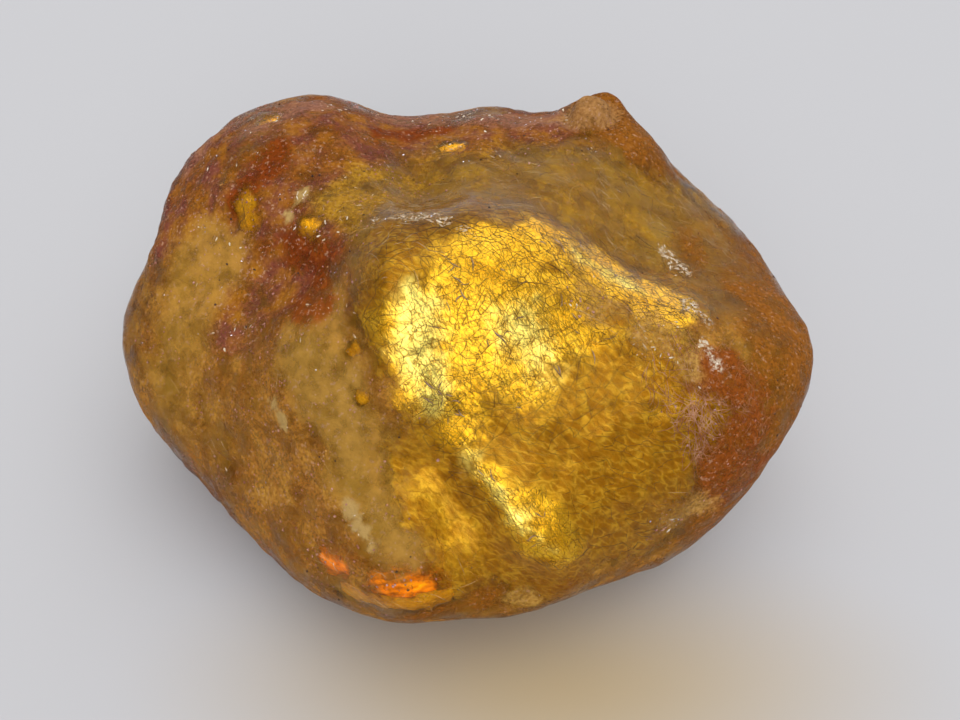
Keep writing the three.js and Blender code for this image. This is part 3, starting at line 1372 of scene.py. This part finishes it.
@dataclass(frozen=True)
class Rind(Piece):
    """The weathered rind on the body's skin.

    Attributes:
        cover: How much it covers each zone.
        base: How much it covers elsewhere, and how far that varies.
        patch: The size of that variation, in millimetres, and its place in the noise.
        thins: The zones that thin it, and by how much.
        over: What lies on the clear zones all the same.
        holes: The zones that break it open.
        lift: How far it stands above the body, in millimetres.
        least: The least cover that is kept.
    """

    name: str = "rind"
    finish: Finish = RindFinish()
    cover: Shares = (
        (Zone.CRUST, 0.80),
        (Zone.CLOUD, 0.60),
        (Zone.PALE, 0.66),
        (Zone.STRAW, 0.55),
        (Zone.FIBRE, 0.72),
        (Zone.BROWN, 0.72),
        (Zone.KNOB, 0.75),
    )
    base: tuple[float, float] = (0.54, 0.20)
    patch: tuple[float, float] = (7.0, 31.0)
    thins: Shares = ((Zone.CLEAR, 0.95), (Zone.SCOOP, 0.9), (Zone.OLIVE, 0.35))
    over: Shares = ((Zone.FROST, 0.46), (Zone.CHIP, 0.6))
    holes: Shares = ((Zone.WINDOW, 1.0), (Zone.GLOW, 0.9))
    lift: float = 0.04
    least: float = 0.06

    def model(self, source: Skin) -> bpy.types.Object:
        """Make the rind from the body's skin.

        Args:
            source: The skin.

        Returns:
            The rind.
        """
        masks = source.masks
        usual, varied = self.base
        cover = usual + varied * rough_noise(source.points, *self.patch)
        cover = np.maximum(cover, strongest(masks, self.cover))
        for zone, share in self.thins:
            cover = cover * (1 - share * masks[zone])
        cover = np.maximum(cover, strongest(masks, self.over))
        for zone, share in self.holes:
            cover = cover * (1 - share * masks[zone])
        rind = copy_of(source.body, self.name)
        write_mask(rind, "cover", cover)
        marks = strongest(masks, {Zone.SCUFF: 1.0, Zone.CREAM: 1.0})
        trim(rind, np.maximum(cover, marks) > self.least)
        push_skin(rind, self.lift)
        return rind


@dataclass(frozen=True)
class Foil(Piece):
    """A crumpled fracture sheet sealed under the skin.

    Attributes:
        reach: The zones that it lies under, each with how far it is whole there.
        shine: The zones where it shines, each with how strongly; there its colour is painted gold as
            painted light, and it is smoother and more like metal.
        depth: How deep it lies, in millimetres.
        smoothing: How many times it is smoothed.
        crumple: How it is crumpled.
        least: The least reach that is kept.
        front: How far to the front it must face to count as turned away, and as facing the front.
    """

    reach: Shares
    shine: Shares
    depth: float
    smoothing: int = 12
    crumple: Relief = Relief(3.4, 0.17, 1)
    least: float = 0.03
    front: tuple[float, float] = (0.15, 0.6)

    def model(self, source: Skin) -> bpy.types.Object:
        """Make the sheet from the body's skin, pushed in and crumpled.

        Args:
            source: The skin.

        Returns:
            The sheet.
        """
        foil = copy_of(source.body, self.name)
        reach = strongest(source.masks, self.reach)
        write_mask(foil, "reach", reach)
        write_mask(foil, "shine", strongest(source.masks, self.shine))
        trim(foil, reach > self.least)
        modify(foil, "SMOOTH", iterations=self.smoothing)
        normals = np.empty(len(foil.data.vertices) * 3, np.float32)
        foil.data.vertex_normals.foreach_get("vector", normals)
        write_mask(foil, "facing", smoothstep(-normals[1::3], *self.front))
        push_skin(foil, -self.depth)
        self.crumple.apply(foil)
        return foil


FOILS: tuple[Foil, ...] = (
    # The main fracture sheet, painted gold where it shines and amber in shade.
    Foil(
        "golden_fracture",
        FoilFinish(
            "gold_foil",
            amber=((0.43, 0.165, 0.0015), (0.58, 0.245, 0.003)),
            gold=((0.80, 0.41, 0.012), (0.96, 0.58, 0.040)),
            pale=(1.0, 0.84, 0.22),
            crease=(0.46, 0.22, 0.012),
        ),
        reach={Zone.CLEAR: 2.0, Zone.SCOOP: 2.0, Zone.FOIL: 1.0, Zone.FIBRE: 0.6, Zone.FROST: 0.8},
        shine={Zone.FOIL: 1.0, Zone.SCOOP: 0.4},
        depth=0.8,
    ),
    # Glints under the rind's windows, painted gold, with a weak painted glow by emission.
    Foil(
        "golden_glints",
        FoilFinish(
            "glint_foil",
            amber=((0.50, 0.18, 0.004), (0.66, 0.28, 0.006)),
            gold=((0.86, 0.35, 0.004), (1.0, 0.50, 0.010)),
            pale=(1.0, 0.76, 0.12),
            crease=(0.60, 0.25, 0.01),
            metallic=0.6,
            painted_glow_strength=0.10,
        ),
        reach={Zone.WINDOW: 1.6},
        shine={Zone.WINDOW: 0.9},
        depth=0.6,
    ),
    # The fracture at the foot, glowing orange by emission: a strong painted glow.
    Foil(
        "ember_fracture",
        FoilFinish(
            "ember_foil",
            amber=((0.40, 0.08, 0.001), (0.62, 0.16, 0.001)),
            gold=((0.80, 0.16, 0.0), (1.0, 0.27, 0.0)),
            pale=(1.0, 0.44, 0.001),
            crease=(0.34, 0.07, 0.001),
            metallic=0.2,
            painted_glow_strength=0.95,
            flow=(1.0, 0.0, 0.05),
        ),
        reach={Zone.GLOW: 2.0},
        shine={Zone.GLOW: 1.0},
        depth=0.7,
    ),
)


@dataclass(frozen=True)
class Veil(Piece):
    """The milky layer a little way under the skin.

    Attributes:
        depth: How deep it lies, in millimetres.
        kept: The share of the skin's faces that it keeps.
        smoothing: How many times it is smoothed.
        relief: How uneven it is.
        torn: How clear the skin above has to be for the veil to be torn there.
    """

    name: str = "milky_veil"
    finish: Finish = HazeFinish("milky", (0.68, 0.44, 0.07), (0.54, 0.28, 0.025), 4.0, (0.1, 0.9))
    depth: float = 2.6
    kept: float = 0.25
    smoothing: int = 6
    relief: Relief = Relief(6.0, 2.6, 2)
    torn: float = 0.8

    def model(self, source: Skin) -> bpy.types.Object:
        """Make the veil from the skin, shrunk and torn where the resin is clear.

        Args:
            source: The skin.

        Returns:
            The veil.
        """
        veil = copy_of(source.body, self.name)
        modify(veil, "DECIMATE", ratio=self.kept)
        modify(veil, "SMOOTH", iterations=self.smoothing)
        push_skin(veil, -self.depth)
        self.relief.apply(veil)
        clear = [read_mask(veil, zone.value) for zone in (Zone.CLEAR, Zone.SCOOP, Zone.GLOW)]
        trim(veil, np.max(clear, axis=0) < self.torn)
        return veil


@dataclass(frozen=True)
class Heart(Piece):
    """The milky heart deep inside.

    Attributes:
        depth: How deep it lies, in millimetres.
        voxel: How fine it is, in millimetres.
        smoothing: How many times it is smoothed.
        relief: How uneven it is.
    """

    name: str = "milky_heart"
    finish: Finish = HazeFinish("deep_milky", (0.76, 0.55, 0.09), (0.62, 0.38, 0.035), 9.0, (0.8, 1.0))
    depth: float = 5.0
    voxel: float = 1.2
    smoothing: int = 20
    relief: Relief = Relief(8.0, 5.0, 2)

    def model(self, source: Skin) -> bpy.types.Object:
        """Make the heart from the skin, shrunk and made uneven.

        Args:
            source: The skin.

        Returns:
            The heart.
        """
        heart = copy_of(source.body, self.name)
        only(heart)
        heart.data.remesh_voxel_size = self.voxel * MM
        bpy.ops.object.voxel_remesh()
        modify(heart, "SMOOTH", iterations=self.smoothing)
        push_skin(heart, -self.depth)
        self.relief.apply(heart)
        bpy.ops.object.voxel_remesh()
        bpy.ops.object.shade_smooth()
        return heart


# ---------------------------------------------------------------- cracks


@dataclass(frozen=True)
class CrackField:
    """A patch of skin that is crazed with a net of fine cracks.

    Attributes:
        centre: The patch's middle, in millimetres.
        facing: The way its skin faces.
        reach: How far it goes from its middle, in millimetres.
        cell: The size of the pieces between the cracks, in millimetres.
        keep: How much of the net is really cracked, from 0 to 1.
        zone: The zone that it is kept to, if any.
        stretch: How far the net is drawn out along one way.
        turn: Which way that is, in degrees from level.
        wide: How wide its cracks are, against the usual width.
    """

    centre: Place
    facing: Place
    reach: float
    cell: float
    keep: float
    zone: Zone | None = None
    stretch: float = 1.0
    turn: float = 0.0
    wide: float = 1.0


@dataclass(frozen=True)
class Cracks(Piece):
    """Fine cracks that run down from the skin into the resin.

    Attributes:
        fields: The crazed patches.
        half_width: Half of a crack's usual width at the skin, in millimetres.
        widths: The least and greatest width, against the usual one.
        sunk: How far under the skin a crack starts, in millimetres.
        depth: How deep a crack goes, in millimetres.
        step: The length of a crack's straight pieces, in millimetres.
        jump: The longest such piece that is kept once it is traced on the skin.
        inside: How strongly all of a crack has to be in its zone.
        longest: The longest crack, counted in cells.
        jitter: How far the net's cells stray from a grid, counted in cells.
        patchy: How far the cracked share varies, and over what length in millimetres.
        wander: How the cracks wander, in cells: over what length, in which layer of noise, how far.
        seed: What the cracks' chances start from.
    """

    name: str = "craze_cracks"
    finish: Finish = GrainFinish("crack", (0.14, 0.055, 0.005), (0.34, 0.15, 0.012), 0.5, 0.2)
    fields: tuple[CrackField, ...] = (
        CrackField((2, -16, 36), (0.0, -0.62, 0.78), 24, 0.66, 0.82, Zone.FOIL, 1.8, -52, 0.55),
        CrackField((12, -6, 40), (0.2, -0.2, 0.95), 16, 0.95, 0.88, Zone.CLEAR, 1.5, -12, 0.9),
        CrackField((14, -18, 32), (0.1, -0.7, 0.7), 16, 0.85, 0.55, Zone.CLEAR, 1.8, -30, 0.55),
        CrackField((10, 2, 40), (0.1, 0.05, 1.0), 22, 2.4, 0.30),
        CrackField((-22, -6, 30), (-0.75, -0.35, 0.55), 20, 3.0, 0.22),
        CrackField((0, 30, 18), (0, 1.0, 0.15), 28, 2.6, 0.30),
        CrackField((36, 0, 20), (1.0, 0, 0.2), 20, 2.6, 0.30),
    )
    half_width: float = 0.024
    widths: tuple[float, float] = (0.5, 1.5)
    sunk: float = 0.02
    depth: float = 0.14
    step: float = 0.5
    jump: float = 1.6
    inside: float = 0.3
    longest: float = 3.0
    jitter: float = 0.48
    patchy: tuple[float, float] = (0.45, 6.0)
    wander: tuple[Place, ...] = ((2.2, 0.0, 0.55), (0.45, 9.0, 0.143))
    seed: int = 11

    def model(self, source: Skin) -> bpy.types.Object:
        """Make every crack as a thin wedge under the skin.

        Args:
            source: The skin.

        Returns:
            The cracks, as one piece.
        """
        noise.seed_set(self.seed)
        chance = np.random.default_rng(self.seed)
        points: list[Vector] = []
        faces: list[Face] = []
        for crazed in self.fields:
            for line in self._lines(crazed, chance):
                traced = [source.below(crazed, place) for place in line]
                if self._whole(traced) and all(
                    source.weight(hit, crazed.zone) > self.inside for hit in traced
                ):
                    faces += strand_faces(len(points), len(traced) - 1)
                    points += self._wedge(traced, crazed.wide * chance.uniform(*self.widths))
        return new_mesh(self.name, np.array([point[:] for point in points]), faces)

    def _whole(self, traced: list[Hit | None]) -> bool:
        """Whether a traced crack lies on the skin all along, with no jump."""
        if any(hit is None for hit in traced):
            return False
        return max((a.place - b.place).length for a, b in zip(traced[:-1], traced[1:])) < self.jump

    def _lines(self, crazed: CrackField, chance: np.random.Generator) -> list[np.ndarray]:
        """Lay out a patch's net flat: the edges between the areas nearest to scattered points.

        Args:
            crazed: The patch.
            chance: What its chances are drawn from.

        Returns:
            Its cracks, each as a row of flat places in millimetres.
        """
        side = np.arange(-crazed.reach, crazed.reach, crazed.cell)
        grid = np.stack(np.meshgrid(side, side), axis=-1).reshape(-1, 2)
        grid = grid + chance.uniform(-self.jitter, self.jitter, grid.shape) * crazed.cell
        grid = grid[np.linalg.norm(grid, axis=1) < crazed.reach]
        corners, _, triangles, *_ = delaunay_2d_cdt([Vector(p) for p in grid], [], [], 0, TINY)
        middles = [circle_middle(np.array([corners[i] for i in face])) for face in triangles]
        beside: dict[tuple[int, int], list[int]] = {}
        for number, face in enumerate(triangles):
            for first, second in zip(face, (*face[1:], face[0])):
                beside.setdefault((min(first, second), max(first, second)), []).append(number)
        much, patch = self.patchy
        lines = []
        for pair in beside.values():
            if len(pair) != 2:
                continue
            start, stop = middles[pair[0]], middles[pair[1]]
            length = float(np.linalg.norm(stop - start))
            keep = crazed.keep + much * noise.noise(Vector((*(start / patch), 5.0)))
            if length > self.longest * crazed.cell or chance.uniform() > keep:
                continue
            share = np.linspace(0, 1, max(2, round(length / self.step) + 1))[:, None]
            line = [self._strayed(place, crazed.cell) for place in start + share * (stop - start)]
            lines.append(self._drawn_out(np.array(line), crazed))
        return lines

    @staticmethod
    def _drawn_out(line: np.ndarray, crazed: CrackField) -> np.ndarray:
        """Draw a flat line out as its patch is drawn out."""
        turn = math.radians(crazed.turn)
        long, wide = np.array([(math.cos(turn), math.sin(turn)), (-math.sin(turn), math.cos(turn))])
        return np.outer(line @ long, long) * crazed.stretch + np.outer(line @ wide, wide)

    def _strayed(self, place: np.ndarray, cell: float) -> np.ndarray:
        """Move a flat place as the net wanders, the same way for all that pass there."""
        moved = place
        for size, layer, share in self.wander:
            drift = noise.noise_vector(Vector((*(place / (size * cell)), layer)))
            moved = moved + np.array(drift[:2]) * share * cell
        return moved

    def _wedge(self, traced: list[Hit], wide: float) -> list[Vector]:
        """Work out one crack's points: three-sided, wide at the skin and sharp below.

        Args:
            traced: Where it runs.
            wide: How wide it is, against the usual width.

        Returns:
            Its points, three for each place.
        """
        points = []
        last = len(traced) - 1
        for i, hit in enumerate(traced):
            way = (traced[min(i + 1, last)].place - traced[max(i - 1, 0)].place).normalized()
            side = hit.normal.cross(way).normalized() * self.half_width * wide
            top = hit.place - hit.normal * self.sunk
            points += [top + side, top - side, top - hit.normal * self.depth]
        return points


def circle_middle(corners: np.ndarray) -> np.ndarray:
    """Find the middle of the circle through a flat triangle's corners.

    Args:
        corners: The corners, one row each.

    Returns:
        The middle.
    """
    a, b, c = corners
    ab, ac = b - a, c - a
    cross = 2 * (ab[0] * ac[1] - ab[1] * ac[0])
    if abs(cross) < FLAT:
        return (a + b + c) / 3
    ab2, ac2 = ab @ ab, ac @ ac
    return a + np.array([ac[1] * ab2 - ab[1] * ac2, ab[0] * ac2 - ac[0] * ab2]) / cross


# ---------------------------------------------------------------- small things on and under the skin


class Shape(Enum):
    """The shapes that small things are made from, each with how a round grain is squeezed."""

    GRAIN = (1.0, 0.8, 0.6)
    FLAKE = (1.0, 1.0, 1.0)
    SLIVER = (1.0, 0.3, 0.16)


def model_shape(shape: Shape, seed: int) -> tuple[np.ndarray, list[Face]]:
    """Model one small shape, one unit long, lying flat.

    Args:
        shape: Which shape.
        seed: What its unevenness starts from.

    Returns:
        Its points and its faces.
    """
    bpy.ops.object.select_all(action="DESELECT")
    if shape is Shape.FLAKE:
        bpy.ops.mesh.primitive_cylinder_add(vertices=6, radius=0.5, depth=0.08)
    else:
        bpy.ops.mesh.primitive_ico_sphere_add(subdivisions=1, radius=0.5)
    obj = bpy.context.object
    with edit_mode(obj):
        bpy.ops.transform.vertex_random(offset=0.12, uniform=1.0, seed=seed)
        bpy.ops.transform.resize(value=shape.value)
    mesh = obj.data
    points = np.array([vertex.co[:] for vertex in mesh.vertices])
    faces = [polygon.vertices[:] for polygon in mesh.polygons]
    bpy.data.objects.remove(obj)
    bpy.data.meshes.remove(mesh)
    return points, faces


@dataclass(frozen=True)
class Sprinkle(Piece):
    """Many small things of one kind, as one piece.

    Attributes:
        shape: Their shape.
        zones: The zones they lie in, each with how thickly.
        count: How many there are.
        sizes: Their least and greatest length, in millimetres.
        height: How far their middles stand above the skin, against their length.
        tilt: How far they tip from lying flat, in degrees.
        seed: What their chances start from.
        kinds: How many shapes they are made from.
    """

    shape: Shape
    zones: Shares
    count: int
    sizes: tuple[float, float]
    height: float
    tilt: float
    seed: int
    kinds: int = 4

    def model(self, source: Skin) -> bpy.types.Object:
        """Scatter the things on the skin.

        Args:
            source: The skin.

        Returns:
            The piece.
        """
        chance = np.random.default_rng(self.seed)
        shapes = [model_shape(self.shape, seed) for seed in range(self.kinds)]
        points: list[np.ndarray] = []
        faces: list[Face] = []
        least, most = self.sizes
        for place, normal in source.scatter(self.zones, self.count, chance):
            corners, sides = shapes[chance.integers(len(shapes))]
            size = least + (most - least) * chance.uniform() ** 2
            turned = corners @ self._turn(normal, chance).T * size
            first = len(points) * len(corners)
            points.append(place + normal * size * self.height + turned)
            faces += [tuple(first + corner for corner in side) for side in sides]
        return new_mesh(self.name, np.concatenate(points), faces)

    def _turn(self, normal: np.ndarray, chance: np.random.Generator) -> np.ndarray:
        """Work out how one thing lies.

        Args:
            normal: The way the skin faces.
            chance: What its chances are drawn from.

        Returns:
            A matrix whose columns are its length, width and height.
        """
        tip = math.tan(math.radians(self.tilt))
        up = normal + chance.uniform(-tip, tip, 3)
        up /= np.linalg.norm(up)
        way = chance.normal(size=3)
        way -= up * (way @ up)
        way /= np.linalg.norm(way)
        return np.stack([way, np.cross(up, way), up], axis=1)


@dataclass(frozen=True)
class Hairs(Piece):
    """Many fine curved hairs, as one piece.

    Attributes:
        zones: The zones they lie in, each with how thickly.
        count: How many there are.
        lengths: Their least and greatest length, in millimetres.
        radius: Half of their thickness, in millimetres.
        height: How far above the skin they lie, in millimetres; below 0 is sealed under it.
        curl: How much they bend.
        along: The way they run.
        seed: What their chances start from.
        astray: How far they stray from that way.
        thickness: The least and greatest thickness, against the usual one.
        tip: How thick a hair's tip is, against its middle.
        steps: How many straight pieces a hair has.
    """

    zones: Shares
    count: int
    lengths: tuple[float, float]
    radius: float
    height: float
    curl: float
    along: Place
    seed: int
    astray: float = 0.5
    thickness: tuple[float, float] = (0.6, 1.3)
    tip: float = 0.25
    steps: int = 7

    def model(self, source: Skin) -> bpy.types.Object:
        """Lay the hairs on the skin.

        Args:
            source: The skin.

        Returns:
            The piece.
        """
        chance = np.random.default_rng(self.seed)
        points: list[np.ndarray] = []
        faces: list[Face] = []
        for place, _ in source.scatter(self.zones, self.count, chance):
            faces += strand_faces(len(points), self.steps)
            points += self._hair(source, place, chance)
        return new_mesh(self.name, np.array(points), faces)

    def _hair(self, skin: Skin, place: np.ndarray, chance: np.random.Generator) -> list[np.ndarray]:
        """Work out one hair's points: three-sided, thinning to its ends.

        Args:
            skin: The body's skin.
            place: Where it starts, in millimetres.
            chance: What its chances are drawn from.

        Returns:
            Its points, three for each place along it.
        """
        way = chance.normal(size=3) * self.astray + np.array(self.along) * chance.choice([-1, 1])
        length = chance.uniform(*self.lengths)
        thick = self.radius * chance.uniform(*self.thickness)
        bend = chance.normal() * self.curl
        points = []
        for i in range(self.steps + 1):
            place, normal = skin.nearest(place)
            way = way - normal * (way @ normal)
            way /= np.linalg.norm(way)
            side = np.cross(normal, way)
            share = min(max(i / self.steps, 0.08), 0.92)
            half = thick * (self.tip + (1 - self.tip) * math.sin(math.pi * share))
            middle = place + normal * (self.height + 0.4 * half)
            points += [middle + side * half, middle - side * half, middle + normal * half * 1.2]
            way = way + side * (bend + chance.normal() * self.curl * 0.5)
            place = place + way / np.linalg.norm(way) * length / self.steps
        return points


SPRINKLES: tuple[Sprinkle, ...] = (
    Sprinkle(
        "soil_grains",
        GrainFinish("soil", (0.015, 0.009, 0.008), (0.07, 0.03, 0.02), 0.7, 0.3),
        Shape.GRAIN,
        {Zone.CRUST: 1.0, Zone.BROWN: 0.5, Zone.CLOUD: 0.4, Zone.OLIVE: 0.3},
        count=420, sizes=(0.10, 0.40), height=0.05, tilt=25, seed=3,
    ),
    Sprinkle(
        "rosy_grains",
        GrainFinish("rosy", (0.32, 0.13, 0.10), (0.52, 0.28, 0.23), 0.6, 0.15),
        Shape.GRAIN,
        {Zone.CRUST: 1.0, Zone.CLOUD: 0.9, Zone.FROST: 1.0, Zone.FIBRE: 0.7, Zone.RIM: 2.0},
        count=4800, sizes=(0.12, 0.44), height=-0.1, tilt=30, seed=4,
    ),
    Sprinkle(
        "honey_grains",
        GrainFinish("honey", (0.28, 0.10, 0.015), (0.52, 0.26, 0.04), 0.3, 0.5),
        Shape.GRAIN,
        {Zone.CRUST: 1.0, Zone.CLOUD: 0.9, Zone.BROWN: 0.7, Zone.PALE: 0.5},
        count=900, sizes=(0.14, 0.60), height=-0.2, tilt=30, seed=5,
    ),
    Sprinkle(
        "bright_flakes",
        GrainFinish("mica", (0.62, 0.60, 0.68), (0.85, 0.82, 0.86), 0.14, 0.8, 0.9),
        Shape.FLAKE,
        {Zone.CRUST: 0.7, Zone.CLOUD: 0.3, Zone.FROST: 0.8, Zone.SCUFF: 2.0, Zone.RIM: 2.2},
        count=650, sizes=(0.08, 0.28), height=0.08, tilt=35, seed=6,
    ),
    Sprinkle(
        "pale_slivers",
        GrainFinish("pale_sliver", (0.50, 0.36, 0.20), (0.80, 0.72, 0.58), 0.5, 0.4),
        Shape.SLIVER,
        {Zone.SCUFF: 2.5, Zone.CREAM: 1.0, Zone.CHIP: 0.6, Zone.FROST: 0.5, Zone.CRUST: 0.25,
         Zone.RIM: 0.9},
        count=900, sizes=(0.20, 0.85), height=0.02, tilt=12, seed=7,
    ),
)

HAIRS: tuple[Hairs, ...] = (
    Hairs(
        "rosy_fibres",
        GrainFinish("rosy_fibre", (0.26, 0.075, 0.03), (0.56, 0.30, 0.17), 0.45, 0.3),
        {Zone.FIBRE: 1.0, Zone.FROST: 0.3},
        count=560, lengths=(1.0, 3.4), radius=0.028, height=0.0, curl=0.16,
        along=(0.25, -0.45, -0.85), seed=8,
    ),
    Hairs(
        "golden_scratches",
        GrainFinish("golden_scratch", (1.0, 0.72, 0.20), (1.0, 0.85, 0.40), 0.25, 0.5, 1.0),
        {Zone.SCOOP: 1.0, Zone.CLEAR: 0.25},
        count=260, lengths=(0.8, 3.2), radius=0.022, height=-0.25, curl=0.10,
        along=(0.8, -0.4, -0.45), seed=9,
    ),
    Hairs(
        "lilac_streaks",
        GrainFinish("lilac", (0.36, 0.21, 0.13), (0.48, 0.31, 0.22), 0.6, 0.3),
        {Zone.FOIL: 1.0},
        count=60, lengths=(0.5, 1.8), radius=0.07, height=-0.08, curl=0.12,
        along=(0.75, -0.5, -0.4), seed=10,
    ),
    Hairs(
        "earth_threads",
        GrainFinish("thread", (0.07, 0.025, 0.01), (0.17, 0.06, 0.02), 0.6, 0.3),
        {Zone.CRUST: 1.0, Zone.CLOUD: 0.8, Zone.OLIVE: 0.6},
        count=320, lengths=(0.8, 3.0), radius=0.026, height=0.0, curl=0.2,
        along=RIDGE_WAY, seed=12,
    ),
    Hairs(
        "pale_scratches",
        GrainFinish("pale_scratch", (0.42, 0.27, 0.11), (0.60, 0.46, 0.26), 0.4, 0.4),
        {Zone.OLIVE: 1.0, Zone.BROWN: 0.5, Zone.FROST: 0.7, Zone.CLOUD: 0.5},
        count=620, lengths=(0.5, 2.6), radius=0.018, height=0.01, curl=0.08,
        along=(0.9, -0.3, -0.3), seed=13,
    ),
)


# ---------------------------------------------------------------- studio


@dataclass(frozen=True)
class SkyLight:
    """A soft bright part of the sky.

    Attributes:
        way: The way to its middle.
        strength: How bright it is there.
        edge: Where it has faded out, as the cosine of the angle from its middle.
        heart: Where it is whole, as such a cosine.
    """

    way: Place
    strength: float
    edge: float
    heart: float


@dataclass(frozen=True)
class FloorFinish(Finish):
    """The pale floor, with a painted pool of warm light near the lump: colour standing in for the light
    that the lump lets through.

    Attributes:
        colour: Its colour.
        glow: Its colour in the middle of the painted pool of warm light.
        middle_mm: That middle.
        squash: How the painted light's patch is squashed along each way.
        reach: How far the painted warm light reaches.
    """

    name: str = "pale_floor"
    colour: Colour = (0.52, 0.52, 0.53)
    glow: Colour = (0.46, 0.36, 0.22)
    middle_mm: Place = (11.0, -34.0, 0.0)
    squash: Place = (0.45, 1.0, 1.0)
    reach: float = 0.024

    def wire(self, tree: Tree, material: bpy.types.Material) -> None:
        """Wire up the floor's colour, with its painted pool of warm light.

        Args:
            tree: The material's nodes.
            material: The material; not used here.
        """
        middle = tuple(value * MM for value in self.middle_mm)
        away = tree.vector("SUBTRACT", tree.add("TexCoord", out="Object"), middle)
        away = tree.vector("LENGTH", tree.vector("MULTIPLY", away, self.squash))
        # Painted light: the floor is tinted warm near the lump's front foot, where light through the lump
        # would fall.
        warm = tree.fade(away, 0.0, self.reach, 1.0, 0.0)
        tree.shade({
            "Base Color": tree.blend(warm, self.colour, self.glow),
            "Roughness": 0.9,
            "Specular IOR Level": 0.1,
        })


@dataclass(frozen=True)
class Studio:
    """The floor, the soft sky and the camera.

    Attributes:
        floor_size: The floor's width.
        dim: The sky's colour where it is dim.
        lights: The sky's bright parts.
        aim_mm: Where the camera looks.
        elevation: How far above level it stands, in degrees.
        distance_mm: How far away it stands.
        lens: Its focal length, in millimetres.
        sensor: Its sensor's width, in millimetres.
        bounces: How often light is followed from one thing to the next.
    """

    floor_size: float = 12.0
    dim: Colour = (0.55, 0.55, 0.56)
    lights: tuple[SkyLight, ...] = (
        SkyLight((0.50, 0.76, 0.42), 0.3, 0.80, 0.99),
        SkyLight((0.02, -0.80, 0.60), 2.3, 0.86, 0.99),
        SkyLight((0.15, 0.05, 0.98), 1.6, 0.70, 0.98),
    )
    aim_mm: Place = (2.6, -2.2, 20.3)
    elevation: float = 49.0
    distance_mm: float = 156.9
    lens: float = 50.0
    sensor: float = 36.0
    bounces: tuple[tuple[str, int], ...] = (
        ("max_bounces", 12),
        ("transmission_bounces", 12),
        ("diffuse_bounces", 5),
        ("glossy_bounces", 6),
        ("transparent_max_bounces", 20),
    )

    def build(self) -> None:
        """Set up the floor, the sky and the camera."""
        bpy.ops.mesh.primitive_plane_add(size=self.floor_size)
        floor = bpy.context.object
        floor.name = "floor"
        floor.data.materials.append(FloorFinish().make())
        scene = bpy.context.scene
        self._sky(scene)
        self._camera(scene)
        scene.view_settings.view_transform = "Standard"
        for name, count in self.bounces:
            setattr(scene.cycles, name, count)

    def _sky(self, scene: bpy.types.Scene) -> None:
        """Set up the sky: a dim room with a few soft bright parts.

        Args:
            scene: The scene.
        """
        scene.world = bpy.data.worlds.new("studio")
        scene.world.use_nodes = True
        tree = Tree(scene.world.node_tree)
        way = tree.add("TexCoord", out="Generated")
        level: Input = 1.0
        for light in self.lights:
            facing = tree.vector("DOT_PRODUCT", way, light.way)
            rise = tree.fade(facing, light.edge, light.heart, 0.0, light.strength / self.dim[0])
            level = rise + level
        background = scene.world.node_tree.nodes["Background"].inputs
        tree.feed(background["Color"], self.dim)
        tree.feed(background["Strength"], level)

    def _camera(self, scene: bpy.types.Scene) -> None:
        """Set up the camera, above the clear face.

        Args:
            scene: The scene.
        """
        lens = bpy.data.cameras.new("camera")
        lens.lens = self.lens
        lens.sensor_width = self.sensor
        lens.clip_start = 0.01
        holder = bpy.data.objects.new("camera", lens)
        scene.collection.objects.link(holder)
        tilt = math.radians(self.elevation)
        back = Vector((0, -math.cos(tilt), math.sin(tilt)))
        holder.location = (Vector(self.aim_mm) + back * self.distance_mm) * MM
        holder.rotation_euler = (math.pi / 2 - tilt, 0, 0)
        scene.camera = holder


def main() -> None:
    """Build the lump in order, then the studio."""
    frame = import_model()
    Effects().build()
    body = Lump().build(frame["nodes"][GUM_NODE])
    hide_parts(GUM_NODE)
    LOG.info("%s: %d faces", body.name, len(body.data.polygons))
    skin = Skin(body)
    for kind in (Rind(), *FOILS, Veil(), Heart(), Cracks(), *SPRINKLES, *HAIRS):
        piece = kind.build(skin)
        LOG.info("%s: %d faces", piece.name, len(piece.data.polygons))
    Studio().build()


if __name__ == "__main__":
    logging.basicConfig(level=logging.INFO, format="%(message)s")
    main()
